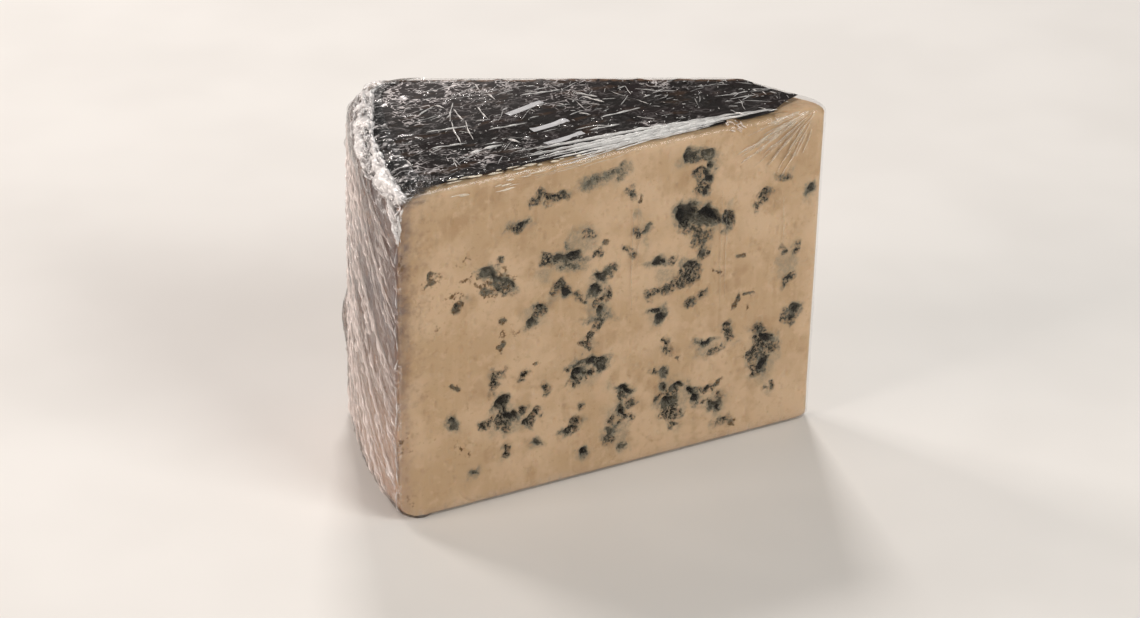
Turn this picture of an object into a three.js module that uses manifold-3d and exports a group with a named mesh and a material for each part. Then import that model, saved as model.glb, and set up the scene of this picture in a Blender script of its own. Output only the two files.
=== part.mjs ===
// A wedge of blue-veined cheese cut from a wheel, with the foil label that lies on the wheel's top face
// and the cling film that the wedge is wrapped in. Millimetres, +Z up. The wedge stands on the wheel's
// flat base: the rind faces -X, the trimmed nose +X and the cut with the larger veins -Y.
// While it is being shaped, the wheel's axis is the line X = Y = 0.

import * as THREE from "three";
import { mergeVertices } from "three/addons/utils/BufferGeometryUtils.js";
import Module from "manifold-3d";

const wasm = await Module();
wasm.setup();

// The bare cheese.
const HEIGHT = 88.4;
const WHEEL_RADIUS = 154.4;
const WEDGE_ANGLE = THREE.MathUtils.degToRad(26);
const CUT_SLIP = 12; // how far behind the wheel's axis the two cuts would meet
const NOSE_FRONT = 37; // from where the cuts would meet to the trimmed nose, along the front cut
const NOSE_BACK = 54; // and along the back cut

// How far each edge is rounded: sideways, then in height.
const RIND_SHOULDER = { side: 7, rise: 5.5 };
const RIND_FOOT = { side: 9, rise: 6 };
const CUT_SHOULDER = { side: 1.3, rise: 1.3 };
const CUT_FOOT = { side: 1, rise: 1 };

// Radii of the four upright edges, in plan.
const CORNER = { tip: 1.6, noseBack: 9, rindBack: 10, rindFront: 1 };

// Both wrappings lie clear of what they cover by the same gap.
const GAP = 0.3;
const LABEL_THICKNESS = 0.6;
const FILM_THICKNESS = 0.4;
const LABEL_INNER = GAP;
const LABEL_OUTER = LABEL_INNER + LABEL_THICKNESS;
const FILM_INNER = LABEL_OUTER + GAP;
const FILM_OUTER = FILM_INNER + FILM_THICKNESS;
const FILM_HEM = 0.4; // the film's lowest edge, above the base

// The bare strip that the label leaves along each edge of the top, how far short of the tip it ends, and
// how far it folds down the rind.
const LABEL_EDGE = { front: 0.8, nose: 1.2, back: 2.6, tip: 12, fold: 6 };

const QUARTER = Math.PI / 2;
const FRONT_BEARING = Math.PI + WEDGE_ANGLE / 2; // the way that the front cut runs to the rind
const BACK_BEARING = Math.PI - WEDGE_ANGLE / 2;

/** A point in plan at a bearing and distance from the wheel's axis. */
const plan = (bearing, distance = 1) =>
  new THREE.Vector2(Math.cos(bearing), Math.sin(bearing)).multiplyScalar(distance);

const APEX = new THREE.Vector2(0, CUT_SLIP);
const TIP = APEX.clone().add(plan(FRONT_BEARING, NOSE_FRONT));
const NOSE_END = APEX.clone().add(plan(BACK_BEARING, NOSE_BACK));
const NOSE_RUN = NOSE_END.clone().sub(TIP).angle();
const TOP_CENTRE = plan(Math.PI, 0.66 * WHEEL_RADIUS);

/** An upright cut: a line in plan through a point, given by its outward bearing and its distance. */
const cutThrough = (point, out) => ({ out, distance: point.dot(plan(out)) });

const CUTS = {
  front: cutThrough(TIP, FRONT_BEARING + QUARTER),
  nose: cutThrough(TIP, NOSE_RUN - QUARTER),
  back: cutThrough(NOSE_END, BACK_BEARING - QUARTER),
};

/** A number from 0 to 1 that depends only on its seed. */
function chance(seed) {
  const wave = Math.sin(seed * 12.9898) * 43758.5453;
  return wave - Math.floor(wave);
}

/** How far a rounded edge has drawn in at a depth past where the flat face would begin. */
function drawnIn(depth, edge, offset) {
  const share = Math.min(Math.max(depth / (edge.rise + offset), 0), 1);
  return (edge.side + offset) * (1 - Math.sqrt(1 - share * share));
}

/** How far a wall stands back at a height, between its rounded shoulder and its rounded foot. */
function wallInset(up, offset, shoulder, foot) {
  const intoShoulder = up - (HEIGHT - shoulder.rise);
  const intoFoot = foot.rise - up;
  return drawnIn(intoShoulder, shoulder, offset) + drawnIn(intoFoot, foot, offset);
}

/** The centre of the corner between two cuts that are both at a given distance. */
function betweenCuts(first, firstDistance, second, secondDistance) {
  const a = plan(first.out);
  const b = plan(second.out);
  const cross = a.x * b.y - a.y * b.x;
  return new THREE.Vector2(
    (firstDistance * b.y - secondDistance * a.y) / cross,
    (a.x * secondDistance - b.x * firstDistance) / cross,
  );
}

/** Where a cut, moved to a given distance, meets a circle about the wheel's axis on the rind's side. */
function atRind(cut, distance, bearing, radius) {
  const along = Math.sqrt(radius * radius - distance * distance);
  return plan(cut.out, distance).add(plan(bearing, along));
}

const RIND_FRONT = atRind(CUTS.front, CUTS.front.distance, FRONT_BEARING, WHEEL_RADIUS);
const RIND_BACK = atRind(CUTS.back, CUTS.back.distance, BACK_BEARING, WHEEL_RADIUS);

/** Points round an arc, without its last one. */
function arc(centre, radius, from, to, steps) {
  const at = (i) => centre.clone().add(plan(from + ((to - from) * i) / steps, radius));
  return Array.from({ length: steps }, (_, i) => at(i));
}

/** Points along a line, without its last one. */
const line = (from, to, steps) =>
  Array.from({ length: steps }, (_, i) => from.clone().lerp(to, i / steps));

/** The wedge's outline at one height, anticlockwise from the rind end of the front cut. */
function outline(up, offset, steps) {
  const cutBack = wallInset(up, offset, CUT_SHOULDER, CUT_FOOT);
  const rimRadius = WHEEL_RADIUS + offset - wallInset(up, offset, RIND_SHOULDER, RIND_FOOT);
  const reach = (cut, corner) => cut.distance - cutBack - corner;
  const tip = betweenCuts(CUTS.front, reach(CUTS.front, CORNER.tip), CUTS.nose, reach(CUTS.nose, CORNER.tip));
  const noseBack = betweenCuts(
    CUTS.nose,
    reach(CUTS.nose, CORNER.noseBack),
    CUTS.back,
    reach(CUTS.back, CORNER.noseBack),
  );
  const inside = (corner) => rimRadius - corner - offset;
  const rindBack = atRind(
    CUTS.back,
    reach(CUTS.back, CORNER.rindBack),
    BACK_BEARING,
    inside(CORNER.rindBack),
  );
  const rindFront = atRind(
    CUTS.front,
    reach(CUTS.front, CORNER.rindFront),
    FRONT_BEARING,
    inside(CORNER.rindFront),
  );
  const on = (centre, corner, cut) => centre.clone().add(plan(cut.out, corner + offset));
  const frontStart = on(rindFront, CORNER.rindFront, CUTS.front);
  const frontEnd = on(tip, CORNER.tip, CUTS.front);
  const noseStart = on(tip, CORNER.tip, CUTS.nose);
  const noseEnd = on(noseBack, CORNER.noseBack, CUTS.nose);
  const backStart = on(noseBack, CORNER.noseBack, CUTS.back);
  const backEnd = on(rindBack, CORNER.rindBack, CUTS.back);
  return [
    ...line(frontStart, frontEnd, steps.front),
    ...arc(tip, CORNER.tip + offset, CUTS.front.out - 2 * Math.PI, CUTS.nose.out, steps.corner),
    ...line(noseStart, noseEnd, steps.nose),
    ...arc(noseBack, CORNER.noseBack + offset, CUTS.nose.out, CUTS.back.out, steps.broad),
    ...line(backStart, backEnd, steps.back),
    ...arc(rindBack, CORNER.rindBack + offset, CUTS.back.out, rindBack.angle(), steps.broad),
    ...arc(new THREE.Vector2(), rimRadius, rindBack.angle(), rindFront.angle(), steps.rind),
    ...arc(rindFront, CORNER.rindFront + offset, rindFront.angle(), CUTS.front.out, steps.corner),
  ];
}

/**
 * One ring of the wedge's surface, or of a surface lying off it by an offset. Its level runs from 0 to 1 up
 * the rounded foot, to 2 up the walls, to 3 over the rounded shoulder and to 4 in across the flat top.
 */
function ring(level, offset, steps) {
  const sweep = (Math.min(Math.max(level - 2, 0), 1) - Math.min(Math.max(1 - level, 0), 1)) * QUARTER;
  const wall = THREE.MathUtils.clamp(level - 1, 0, 1);
  const low = RIND_FOOT.rise;
  const high = HEIGHT - RIND_SHOULDER.rise;
  const rounding = sweep > 0 ? RIND_SHOULDER.rise + offset : RIND_FOOT.rise + offset;
  const up = low + (high - low) * wall + rounding * Math.sin(sweep);
  const across = THREE.MathUtils.clamp(4 - level, 0, 1);
  const inward = (p) => TOP_CENTRE.clone().lerp(p, across);
  return outline(up, offset, steps).map((p) => {
    const q = inward(p);
    return new THREE.Vector3(q.x, q.y, up);
  });
}

/** A closed surface through rings of equally many points, with a fan over each end. */
function loft(rings) {
  const points = rings.flat();
  const width = rings[0].length;
  const faces = [];
  for (let row = 0; row + 1 < rings.length; row++) {
    for (let i = 0; i < width; i++) {
      const a = row * width + i;
      const b = row * width + ((i + 1) % width);
      faces.push(a, b, b + width, a, b + width, a + width);
    }
  }
  const fan = (members, flip) => {
    const middle = members.reduce((sum, p) => sum.add(p), new THREE.Vector3()).divideScalar(width);
    const hub = points.push(middle) - 1;
    const first = flip ? 0 : (rings.length - 1) * width;
    for (let i = 0; i < width; i++) {
      const a = first + i;
      const b = first + ((i + 1) % width);
      faces.push(...(flip ? [hub, b, a] : [hub, a, b]));
    }
  };
  fan(rings[0], true);
  fan(rings.at(-1), false);
  return new THREE.BufferGeometry().setFromPoints(points).setIndex(faces);
}

/** Evenly spaced levels from one to another, both included. */
const levels = (from, to, steps) =>
  Array.from({ length: steps + 1 }, (_, i) => from + ((to - from) * i) / steps);

/** Turns a closed geometry into a solid that can be joined and cut. */
function solidOf(geometry) {
  const bare = geometry.clone();
  bare.deleteAttribute("normal");
  bare.deleteAttribute("uv");
  const merged = mergeVertices(bare, 1e-4);
  const vertProperties = new Float32Array(merged.attributes.position.array);
  const triVerts = new Uint32Array(merged.index.array);
  return new wasm.Manifold(new wasm.Mesh({ numProp: 3, vertProperties, triVerts }));
}

/** Turns a solid back into a geometry. */
function geometryOf(solid) {
  const { numProp, vertProperties, triVerts } = solid.getMesh();
  const count = vertProperties.length / numProp;
  const position = new Float32Array(count * 3);
  for (let i = 0; i < count; i++) position.set(vertProperties.subarray(i * numProp, i * numProp + 3), i * 3);
  const geometry = new THREE.BufferGeometry();
  geometry.setAttribute("position", new THREE.BufferAttribute(position, 3));
  geometry.setIndex(new THREE.BufferAttribute(new Uint32Array(triVerts), 1));
  return geometry;
}

// The faces that show veins: where each starts, which way it runs and which way it looks.
const FACES = {
  front: { start: RIND_FRONT, run: FRONT_BEARING - Math.PI, out: CUTS.front.out },
  back: { start: RIND_BACK, run: BACK_BEARING - Math.PI, out: CUTS.back.out },
  nose: { start: TIP, run: NOSE_RUN, out: CUTS.nose.out },
};

/** A point on a face, by its distance along from the face's start, its height, and its distance off it. */
function onFace(face, along, up, off = 0) {
  const p = face.start.clone().add(plan(face.run, along)).add(plan(face.out, off));
  return new THREE.Vector3(p.x, p.y, up);
}

// Mould pockets that open on the front cut: along from the rind, up, wide, high, deep, and leaning by
// degrees. The largest come first, and marks too small or flat to be hollows are left out.
const FRONT_POCKETS = [
  [84.9, 64.4, 15, 10, 6, -8],
  [105.3, 21.1, 8, 15, 2.6, 4],
  [28.7, 22.7, 7.5, 9.5, 4.5, 20],
  [76.5, 15.3, 7, 9, 2.4, 0],
  [45.6, 62.7, 10.5, 2.8, 2.8, 4],
  [26.4, 61.3, 8, 6, 3.6, -38],
  [55.4, 82.5, 10, 5.5, 1.5, 14],
  [52.5, 30.1, 12, 4.4, 2.2, 22],
  [36.4, 49, 6, 7.5, 3, -30],
  [83.1, 81.9, 9.5, 4, 3, 6],
  [84.1, 75, 5, 9, 1.6, 0],
  [80.2, 50.7, 14, 4.6, 1.6, 12],
  [40.7, 80.2, 9, 4, 1.3, 6],
  [84, 58.2, 7, 4.6, 1.7, 0],
  [91.8, 11.2, 6.4, 6, 2.4, 10],
  [53.9, 49.1, 4, 8, 2.2, 8],
  [83.7, 14.7, 6, 4.4, 2, -35],
  [36.1, 21.7, 6.2, 4, 1.8, 24],
  [61, 8.8, 6, 4.6, 1.8, -14],
  [73.6, 47.7, 8, 2.6, 1.2, 8],
  [87, 27.5, 6, 3.2, 1.8, 12],
  [43.6, 53.6, 5.6, 4.4, 1.7, 16],
  [113.6, 31.4, 6, 4.6, 2, 42],
  [109.9, 45.5, 5, 9, 1, -18],
  [57.1, 56.4, 6, 3, 1.8, 38],
  [62.8, 15.8, 4.8, 4.4, 1.8, -20],
  [71.9, 40.5, 4, 5, 1.8, 18],
  [72.1, 55.5, 6.2, 2.4, 2, 0],
  [14.7, 57.5, 4, 6, 1.8, 0],
];

// The back cut and the nose aren't seen from the front. Their pockets stand on a loose grid.
const BACK_GRID = { columns: 6, rows: 5, firstAlong: 12, firstUp: 10, pitchAlong: 14.8, pitchUp: 17 };
const NOSE_POCKETS = [
  [8, 62, 4.5, 6, 2, 10],
  [16, 30, 6, 4.5, 2.2, -20],
  [9, 16, 3, 3.5, 1.4, 0],
];

/** The back cut's pockets, each jittered about its place in the grid and sized by the same rule. */
function backPockets() {
  const { columns, rows, firstAlong, firstUp, pitchAlong, pitchUp } = BACK_GRID;
  const pockets = [];
  for (let n = 0; n < columns * rows; n++) {
    const wander = (k) => chance(n * 7 + k) - 0.5;
    const along = firstAlong + (n % columns) * pitchAlong + 11 * wander(1);
    const up = firstUp + Math.floor(n / columns) * pitchUp + 12 * wander(2);
    const size = 2.6 + 7.5 * chance(n * 7 + 3) ** 2;
    const stretch = 1 + wander(4);
    pockets.push([along, up, size * stretch, size / stretch, 1 + 0.32 * size, 90 * wander(5)]);
  }
  return pockets;
}

/** An uneven lump that hollows out part of a pocket. */
function lump(face, along, up, wide, high, deep, lean, seed) {
  const fine = wide * high > 40 ? 1 : 0;
  const geometry = new THREE.IcosahedronGeometry(1, fine);
  geometry.deleteAttribute("normal");
  geometry.deleteAttribute("uv");
  const crag = mergeVertices(geometry, 1e-4);
  const position = crag.attributes.position;
  const point = new THREE.Vector3();
  for (let i = 0; i < position.count; i++) {
    point.fromBufferAttribute(position, i).multiplyScalar(0.8 + 0.42 * chance(seed + i));
    position.setXYZ(i, point.x, point.y, point.z);
  }
  crag.scale(wide / 2, deep, high / 2);
  crag.rotateY(-THREE.MathUtils.degToRad(lean));
  crag.rotateZ(face.run);
  crag.translate(...onFace(face, along, up, 0.1 * deep).toArray());
  return solidOf(crag);
}

/** The lumps of one pocket: one for a small pocket, and up to four strung along a large one. */
function pocketLumps(face, [along, up, wide, high, deep, lean], seed) {
  const count = THREE.MathUtils.clamp(Math.round((wide * high) / 20), 1, 4);
  const long = Math.max(wide, high);
  const axis = THREE.MathUtils.degToRad(lean + (wide >= high ? 0 : 90));
  const lumps = [];
  for (let i = 0; i < count; i++) {
    const slide = count > 1 ? (i / (count - 1) - 0.5) * 0.62 * long : 0;
    const side = count > 1 ? (chance(seed + 31 * i) - 0.5) * 0.22 * long : 0;
    const dAlong = slide * Math.cos(axis) - side * Math.sin(axis);
    const dUp = slide * Math.sin(axis) + side * Math.cos(axis);
    const share = count > 1 ? 0.56 + 0.22 * chance(seed + 57 * i) : 1;
    const size = [wide, high].map((extent) => Math.max(extent * share, 1.6));
    const depth = deep * (0.7 + 0.3 * chance(seed + 83 * i));
    lumps.push(lump(face, along + dAlong, up + dUp, ...size, depth, lean, seed + 101 * i));
  }
  return lumps;
}

/** The cheese: the rounded wedge with its mould pockets hollowed out. */
function cheeseGeometry() {
  const steps = { front: 4, nose: 2, back: 4, rind: 16, corner: 3, broad: 6 };
  const heights = [...levels(0, 1, 4), ...levels(1.25, 1.75, 2), ...levels(2, 3, 5)];
  const wedge = solidOf(loft(heights.map((level) => ring(level, 0, steps))));
  const hollows = [
    ...FRONT_POCKETS.flatMap((pocket, i) => pocketLumps(FACES.front, pocket, 1 + i)),
    ...backPockets().flatMap((pocket, i) => pocketLumps(FACES.back, pocket, 201 + i)),
    ...NOSE_POCKETS.flatMap((pocket, i) => pocketLumps(FACES.nose, pocket, 301 + i)),
  ];
  return geometryOf(wedge.subtract(wasm.Manifold.union(hollows)));
}

/** The shell between two offsets of the wedge's surface. */
function shell(inner, outer, heights, steps) {
  const grown = (offset) => solidOf(loft(heights.map((level) => ring(level, offset, steps))));
  return grown(outer).subtract(grown(inner));
}

/** An upright prism on an outline in plan. */
function prism(corners, low, high) {
  const geometry = new THREE.ExtrudeGeometry(new THREE.Shape(corners), {
    depth: high - low,
    bevelEnabled: false,
  });
  return solidOf(geometry.translate(0, 0, low));
}

/** The foil label: flat on the top, and folded down over the rind's shoulder. */
function labelGeometry() {
  const { front, nose, back, tip, fold } = LABEL_EDGE;
  const edge = (cut, margin) => [cut, cut.distance - margin];
  const past = 1.3 * WHEEL_RADIUS;
  const corners = [
    atRind(...edge(CUTS.front, front), FRONT_BEARING, past),
    TIP.clone().add(plan(FRONT_BEARING, tip)).addScaledVector(plan(CUTS.front.out), -front),
    TIP.clone().lerp(NOSE_END, 0.26).addScaledVector(plan(CUTS.nose.out), -nose),
    betweenCuts(...edge(CUTS.nose, nose), ...edge(CUTS.back, back)),
    atRind(...edge(CUTS.back, back), BACK_BEARING, past),
  ];
  const steps = { front: 10, nose: 3, back: 8, rind: 20, corner: 3, broad: 7 };
  const skin = shell(LABEL_INNER, LABEL_OUTER, [1.5, 2, 2.2, 2.4, 2.6, 2.8, 3, 3.5], steps);
  return geometryOf(skin.intersect(prism(corners, HEIGHT - fold, HEIGHT + 5)));
}

/** A point of the film's smooth surface with the way it faces, on the walls. */
function onWall(base, out, up, shoulder, foot) {
  const overShoulder = (up - HEIGHT + shoulder.rise) / (shoulder.rise + FILM_OUTER);
  const underFoot = (foot.rise - up) / (foot.rise + FILM_OUTER);
  const tilt = Math.asin(THREE.MathUtils.clamp(Math.max(overShoulder, 0) - Math.max(underFoot, 0), -1, 1));
  const inset = wallInset(up, FILM_OUTER, shoulder, foot);
  const p = base.clone().addScaledVector(out, FILM_OUTER - inset);
  const flat = out.clone().multiplyScalar(Math.cos(tilt));
  return { at: new THREE.Vector3(p.x, p.y, up), out: new THREE.Vector3(flat.x, flat.y, Math.sin(tilt)) };
}

/** The same on a cut face, by distance along it and height. */
function onCut(face, along, up) {
  const base = face.start.clone().add(plan(face.run, along));
  return onWall(base, plan(face.out), up, CUT_SHOULDER, CUT_FOOT);
}

/** The same on the rind, by the share of the way from its front edge to its back edge. */
function onRind(across, up) {
  const out = plan(THREE.MathUtils.lerp(RIND_FRONT.angle(), RIND_BACK.angle(), across));
  return onWall(out.clone().multiplyScalar(WHEEL_RADIUS), out, up, RIND_SHOULDER, RIND_FOOT);
}

/** The same on the flat top, by distance in from the rind and the share of the way to the back cut. */
function onTop(inward, across) {
  const rim = RIND_FRONT.clone().lerp(RIND_BACK, across);
  const p = rim.clone().addScaledVector(APEX.clone().sub(rim).normalize(), inward);
  return { at: new THREE.Vector3(p.x, p.y, HEIGHT + FILM_OUTER), out: new THREE.Vector3(0, 0, 1) };
}

/** A fold of the film: a ridge that follows a path over the surface and runs out at both ends. */
function fold(path, height, width) {
  const last = path.length - 1;
  const rows = path.map(({ at, out }, i) => {
    const ahead = path[Math.min(i + 1, last)].at.clone().sub(path[Math.max(i - 1, 0)].at);
    const side = new THREE.Vector3().crossVectors(out, ahead).normalize();
    const share = i === 0 || i === last ? 0.12 : 1;
    const root = at.clone().addScaledVector(out, -FILM_THICKNESS / 2);
    const crest = root.clone().addScaledVector(out, (height + FILM_THICKNESS / 2) * share);
    return [
      root.clone().addScaledVector(side, (-width / 2) * share),
      root.clone().addScaledVector(side, (width / 2) * share),
      crest,
    ];
  });
  return solidOf(loft(rows));
}

/** A path between two places on the film, whose inner points wander by up to a distance. */
function path(place, from, to, steps, wander, seed) {
  return Array.from({ length: steps + 1 }, (_, i) => {
    const share = i / steps;
    const stray = i % steps ? wander * (chance(seed + i) - 0.5) : 0;
    return place(from[0] + (to[0] - from[0]) * share, from[1] + (to[1] - from[1]) * share + stray);
  });
}

/** The film's folds, family by family. */
function folds() {
  const front = (along, up) => onCut(FACES.front, along, up);
  const back = (along, up) => onCut(FACES.back, along, up);
  const nose = (along, up) => onCut(FACES.nose, along, up);
  const edge = HEIGHT + FILM_OUTER;
  const made = [];
  const add = (place, from, to, steps, wander, height, width) =>
    made.push(fold(path(place, from, to, steps, wander, 17 * made.length + 1), height, width));
  // Long creases that slant down round the rind, from its back edge to its front edge.
  for (let i = 0; i < 11; i++) {
    const start = 0.97 - 0.3 * chance(i + 1);
    const high = 84 - 5.2 * i;
    const end = start - 0.45 - 0.3 * chance(i + 11);
    add(onRind, [start, high], [Math.max(end, 0.05), Math.max(high - 32, 4)], 4, 3, 0.9, 2);
  }
  for (let i = 0; i < 5; i++) add(onRind, [0.25 + 0.16 * i, 30 - 2 * i], [0.1 + 0.15 * i, 4], 3, 2, 0.8, 1.8);
  // A slack fold that stands off the rind near its back edge.
  add(onRind, [0.96, 64], [0.93, 30], 4, 2, 2.2, 7);
  // The gathered edge where the film turns from the rind to the front cut.
  for (let i = 0; i < 6; i++) {
    const foot = 5 + 12.5 * i;
    add(onRind, [0.015, foot], [0.05, foot + 15], 3, 1, 0.9, 1.9);
  }
  add(front, [1.4, 60], [1.2, 84], 3, 1, 1, 1.8);
  add(front, [3, edge - 3.2], [9, edge - 1.4], 2, 0, 1.2, 3);
  // The bunched strands of film over the rind's shoulder.
  for (let i = 0; i < 9; i++) {
    const start = 0.06 + 0.1 * i;
    const high = 84.6 + 1.7 * (i % 3);
    add(onRind, [start, high], [Math.min(start + 0.24, 0.97), high + 1 - 2 * chance(i + 31)], 3, 1.4, 1, 2.2);
  }
  // Short crinkles all over the top.
  for (let i = 0; i < 15; i++) {
    const inward = 8 + 82 * chance(i + 41);
    const across = 0.12 + 0.7 * chance(i + 61);
    const length = 6 + 12 * chance(i + 81);
    const turned = 0.16 * (chance(i + 91) - 0.3);
    add(onTop, [inward, across], [inward + length, across + turned], 2, 0.03, 0.5, 1.3);
  }
  // Pleats pulled along the top edge of the front cut.
  for (let i = 0; i < 6; i++) {
    const start = 36 + 9 * i;
    const drop = 0.9 + 2 * chance(i + 101);
    add(front, [start, edge - drop - 1], [start + 26, edge - drop + 0.3], 3, 0.5, 0.8, 1.5);
  }
  for (let i = 0; i < 4; i++) {
    add(onTop, [48 + 10 * i, 0.07], [76 + 8 * i, 0.06 + 0.03 * i], 3, 0.02, 0.8, 1.7);
  }
  // Creases that fan out from the top of the tip.
  for (let i = 0; i < 5; i++) {
    const angle = THREE.MathUtils.degToRad(200 + 14 * i);
    const reach = (distance) => [116.5 + distance * Math.cos(angle), edge - 3.4 + distance * Math.sin(angle)];
    add(front, reach(3), reach(21 - 1.5 * i), 2, 0.6, 0.5, 1.2);
  }
  for (let i = 0; i < 3; i++) add(nose, [4, 80 - 26 * i], [20, 72 - 24 * i], 3, 2, 0.6, 1.6);
  // A few long creases on the back cut.
  for (let i = 0; i < 5; i++) add(back, [10 + 6 * i, 80 - 14 * i], [82 - 5 * i, 68 - 13 * i], 4, 4, 0.6, 1.6);
  return made;
}

/** The cling film: a thin creased skin round the walls and over the top, open under the base. */
function filmGeometry() {
  const steps = { front: 6, nose: 2, back: 5, rind: 17, corner: 3, broad: 6 };
  const heights = [0, 0.35, 0.7, 1, 1.5, ...levels(2, 3, 5), 3.5];
  const skin = shell(FILM_INNER, FILM_OUTER, heights, steps);
  const size = 2 * WHEEL_RADIUS;
  const above = wasm.Manifold.cube([size, size, size]).translate([-size, -size / 2, FILM_HEM]);
  return geometryOf(wasm.Manifold.union([skin, ...folds()]).intersect(above));
}

/** A named mesh with its own finish. */
function mesh(name, geometry, finish) {
  geometry.computeVertexNormals();
  const made = new THREE.Mesh(geometry, new THREE.MeshStandardMaterial(finish));
  made.name = name;
  return made;
}

const wedge = new THREE.Group();
wedge.add(
  mesh("cheese", cheeseGeometry(), { color: 0xd8c19c, roughness: 0.55, metalness: 0 }),
  mesh("label", labelGeometry(), { color: 0x2c2a2c, roughness: 0.35, metalness: 0.2 }),
  mesh("film", filmGeometry(), {
    color: 0xe8e2de,
    roughness: 0.15,
    metalness: 0,
    transparent: true,
    opacity: 0.25,
  }),
);

// The part's origin is the middle of its box, on the surface that it stands on.
const extent = new THREE.Box3().setFromObject(wedge);
const middle = extent.getCenter(new THREE.Vector3());
wedge.position.set(-middle.x, -middle.y, -extent.min.z);

export default wedge;
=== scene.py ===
"""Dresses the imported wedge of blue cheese: veined paste, a foil label and creased cling film.

Sizes are in millimetres about the wheel's axis, as in the CAD, and turn into metres in the row frame when
a mesh is made.
"""

import logging
import math
from collections.abc import Iterator
from dataclasses import dataclass, field
from enum import Enum

import bpy
import numpy as np
from mathutils import Matrix, Vector


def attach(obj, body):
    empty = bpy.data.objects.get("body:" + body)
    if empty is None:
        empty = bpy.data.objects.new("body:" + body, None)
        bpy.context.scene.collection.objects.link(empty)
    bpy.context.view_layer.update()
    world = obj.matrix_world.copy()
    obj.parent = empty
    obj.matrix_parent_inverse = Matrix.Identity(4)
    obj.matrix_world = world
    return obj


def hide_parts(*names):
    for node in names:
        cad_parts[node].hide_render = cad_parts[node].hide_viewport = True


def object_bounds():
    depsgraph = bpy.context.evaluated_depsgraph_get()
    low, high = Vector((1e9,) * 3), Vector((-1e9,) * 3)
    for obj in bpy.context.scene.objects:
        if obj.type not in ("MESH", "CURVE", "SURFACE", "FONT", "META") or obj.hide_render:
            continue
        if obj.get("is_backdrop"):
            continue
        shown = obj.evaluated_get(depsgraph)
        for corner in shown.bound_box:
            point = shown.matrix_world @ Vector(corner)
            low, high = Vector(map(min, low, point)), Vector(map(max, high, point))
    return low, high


Array = np.ndarray
Colour = tuple[float, float, float]
Place = tuple[float, float]
Socket = bpy.types.NodeSocket

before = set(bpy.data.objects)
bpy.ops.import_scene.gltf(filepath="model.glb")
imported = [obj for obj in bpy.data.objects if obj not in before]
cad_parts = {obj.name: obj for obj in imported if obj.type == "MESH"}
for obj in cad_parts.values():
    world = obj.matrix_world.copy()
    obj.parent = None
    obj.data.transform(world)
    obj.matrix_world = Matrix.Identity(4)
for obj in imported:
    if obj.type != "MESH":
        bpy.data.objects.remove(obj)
CAD_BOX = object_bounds()

LOG = logging.getLogger("wedge")
MM = 0.001
WHEEL_AXIS = np.array([96.303, -10.547, 0.0])  # the wheel's axis, in the row frame
UPWARD = np.array([0.0, 0.0, 1.0])


def chance(seed: float) -> float:
    """Returns a number from 0 to 1 that depends only on its seed, as in the CAD."""
    wave = math.sin(seed * 12.9898) * 43758.5453
    return wave - math.floor(wave)


def smooth(low: float, high: float, value: Array) -> Array:
    """Returns 0 below low, 1 above high and a smooth rise between; low may be the larger."""
    share = np.clip((value - low) / (high - low), 0.0, 1.0)
    return share * share * (3.0 - 2.0 * share)


def bearing(angle: Array, distance: Array = 1.0) -> Array:
    """Returns the plan point at an angle and distance from the wheel's axis."""
    return np.stack([np.cos(angle) * distance, np.sin(angle) * distance], axis=-1)


def raised(plan: Array, up: Array) -> Array:
    """Returns points from plan points and heights."""
    return np.concatenate([plan, np.broadcast_to(up, plan.shape[:-1])[..., None]], axis=-1)


def unit(vectors: Array) -> Array:
    """Returns vectors of length one."""
    return vectors / np.maximum(np.linalg.norm(vectors, axis=-1, keepdims=True), 1e-9)


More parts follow.
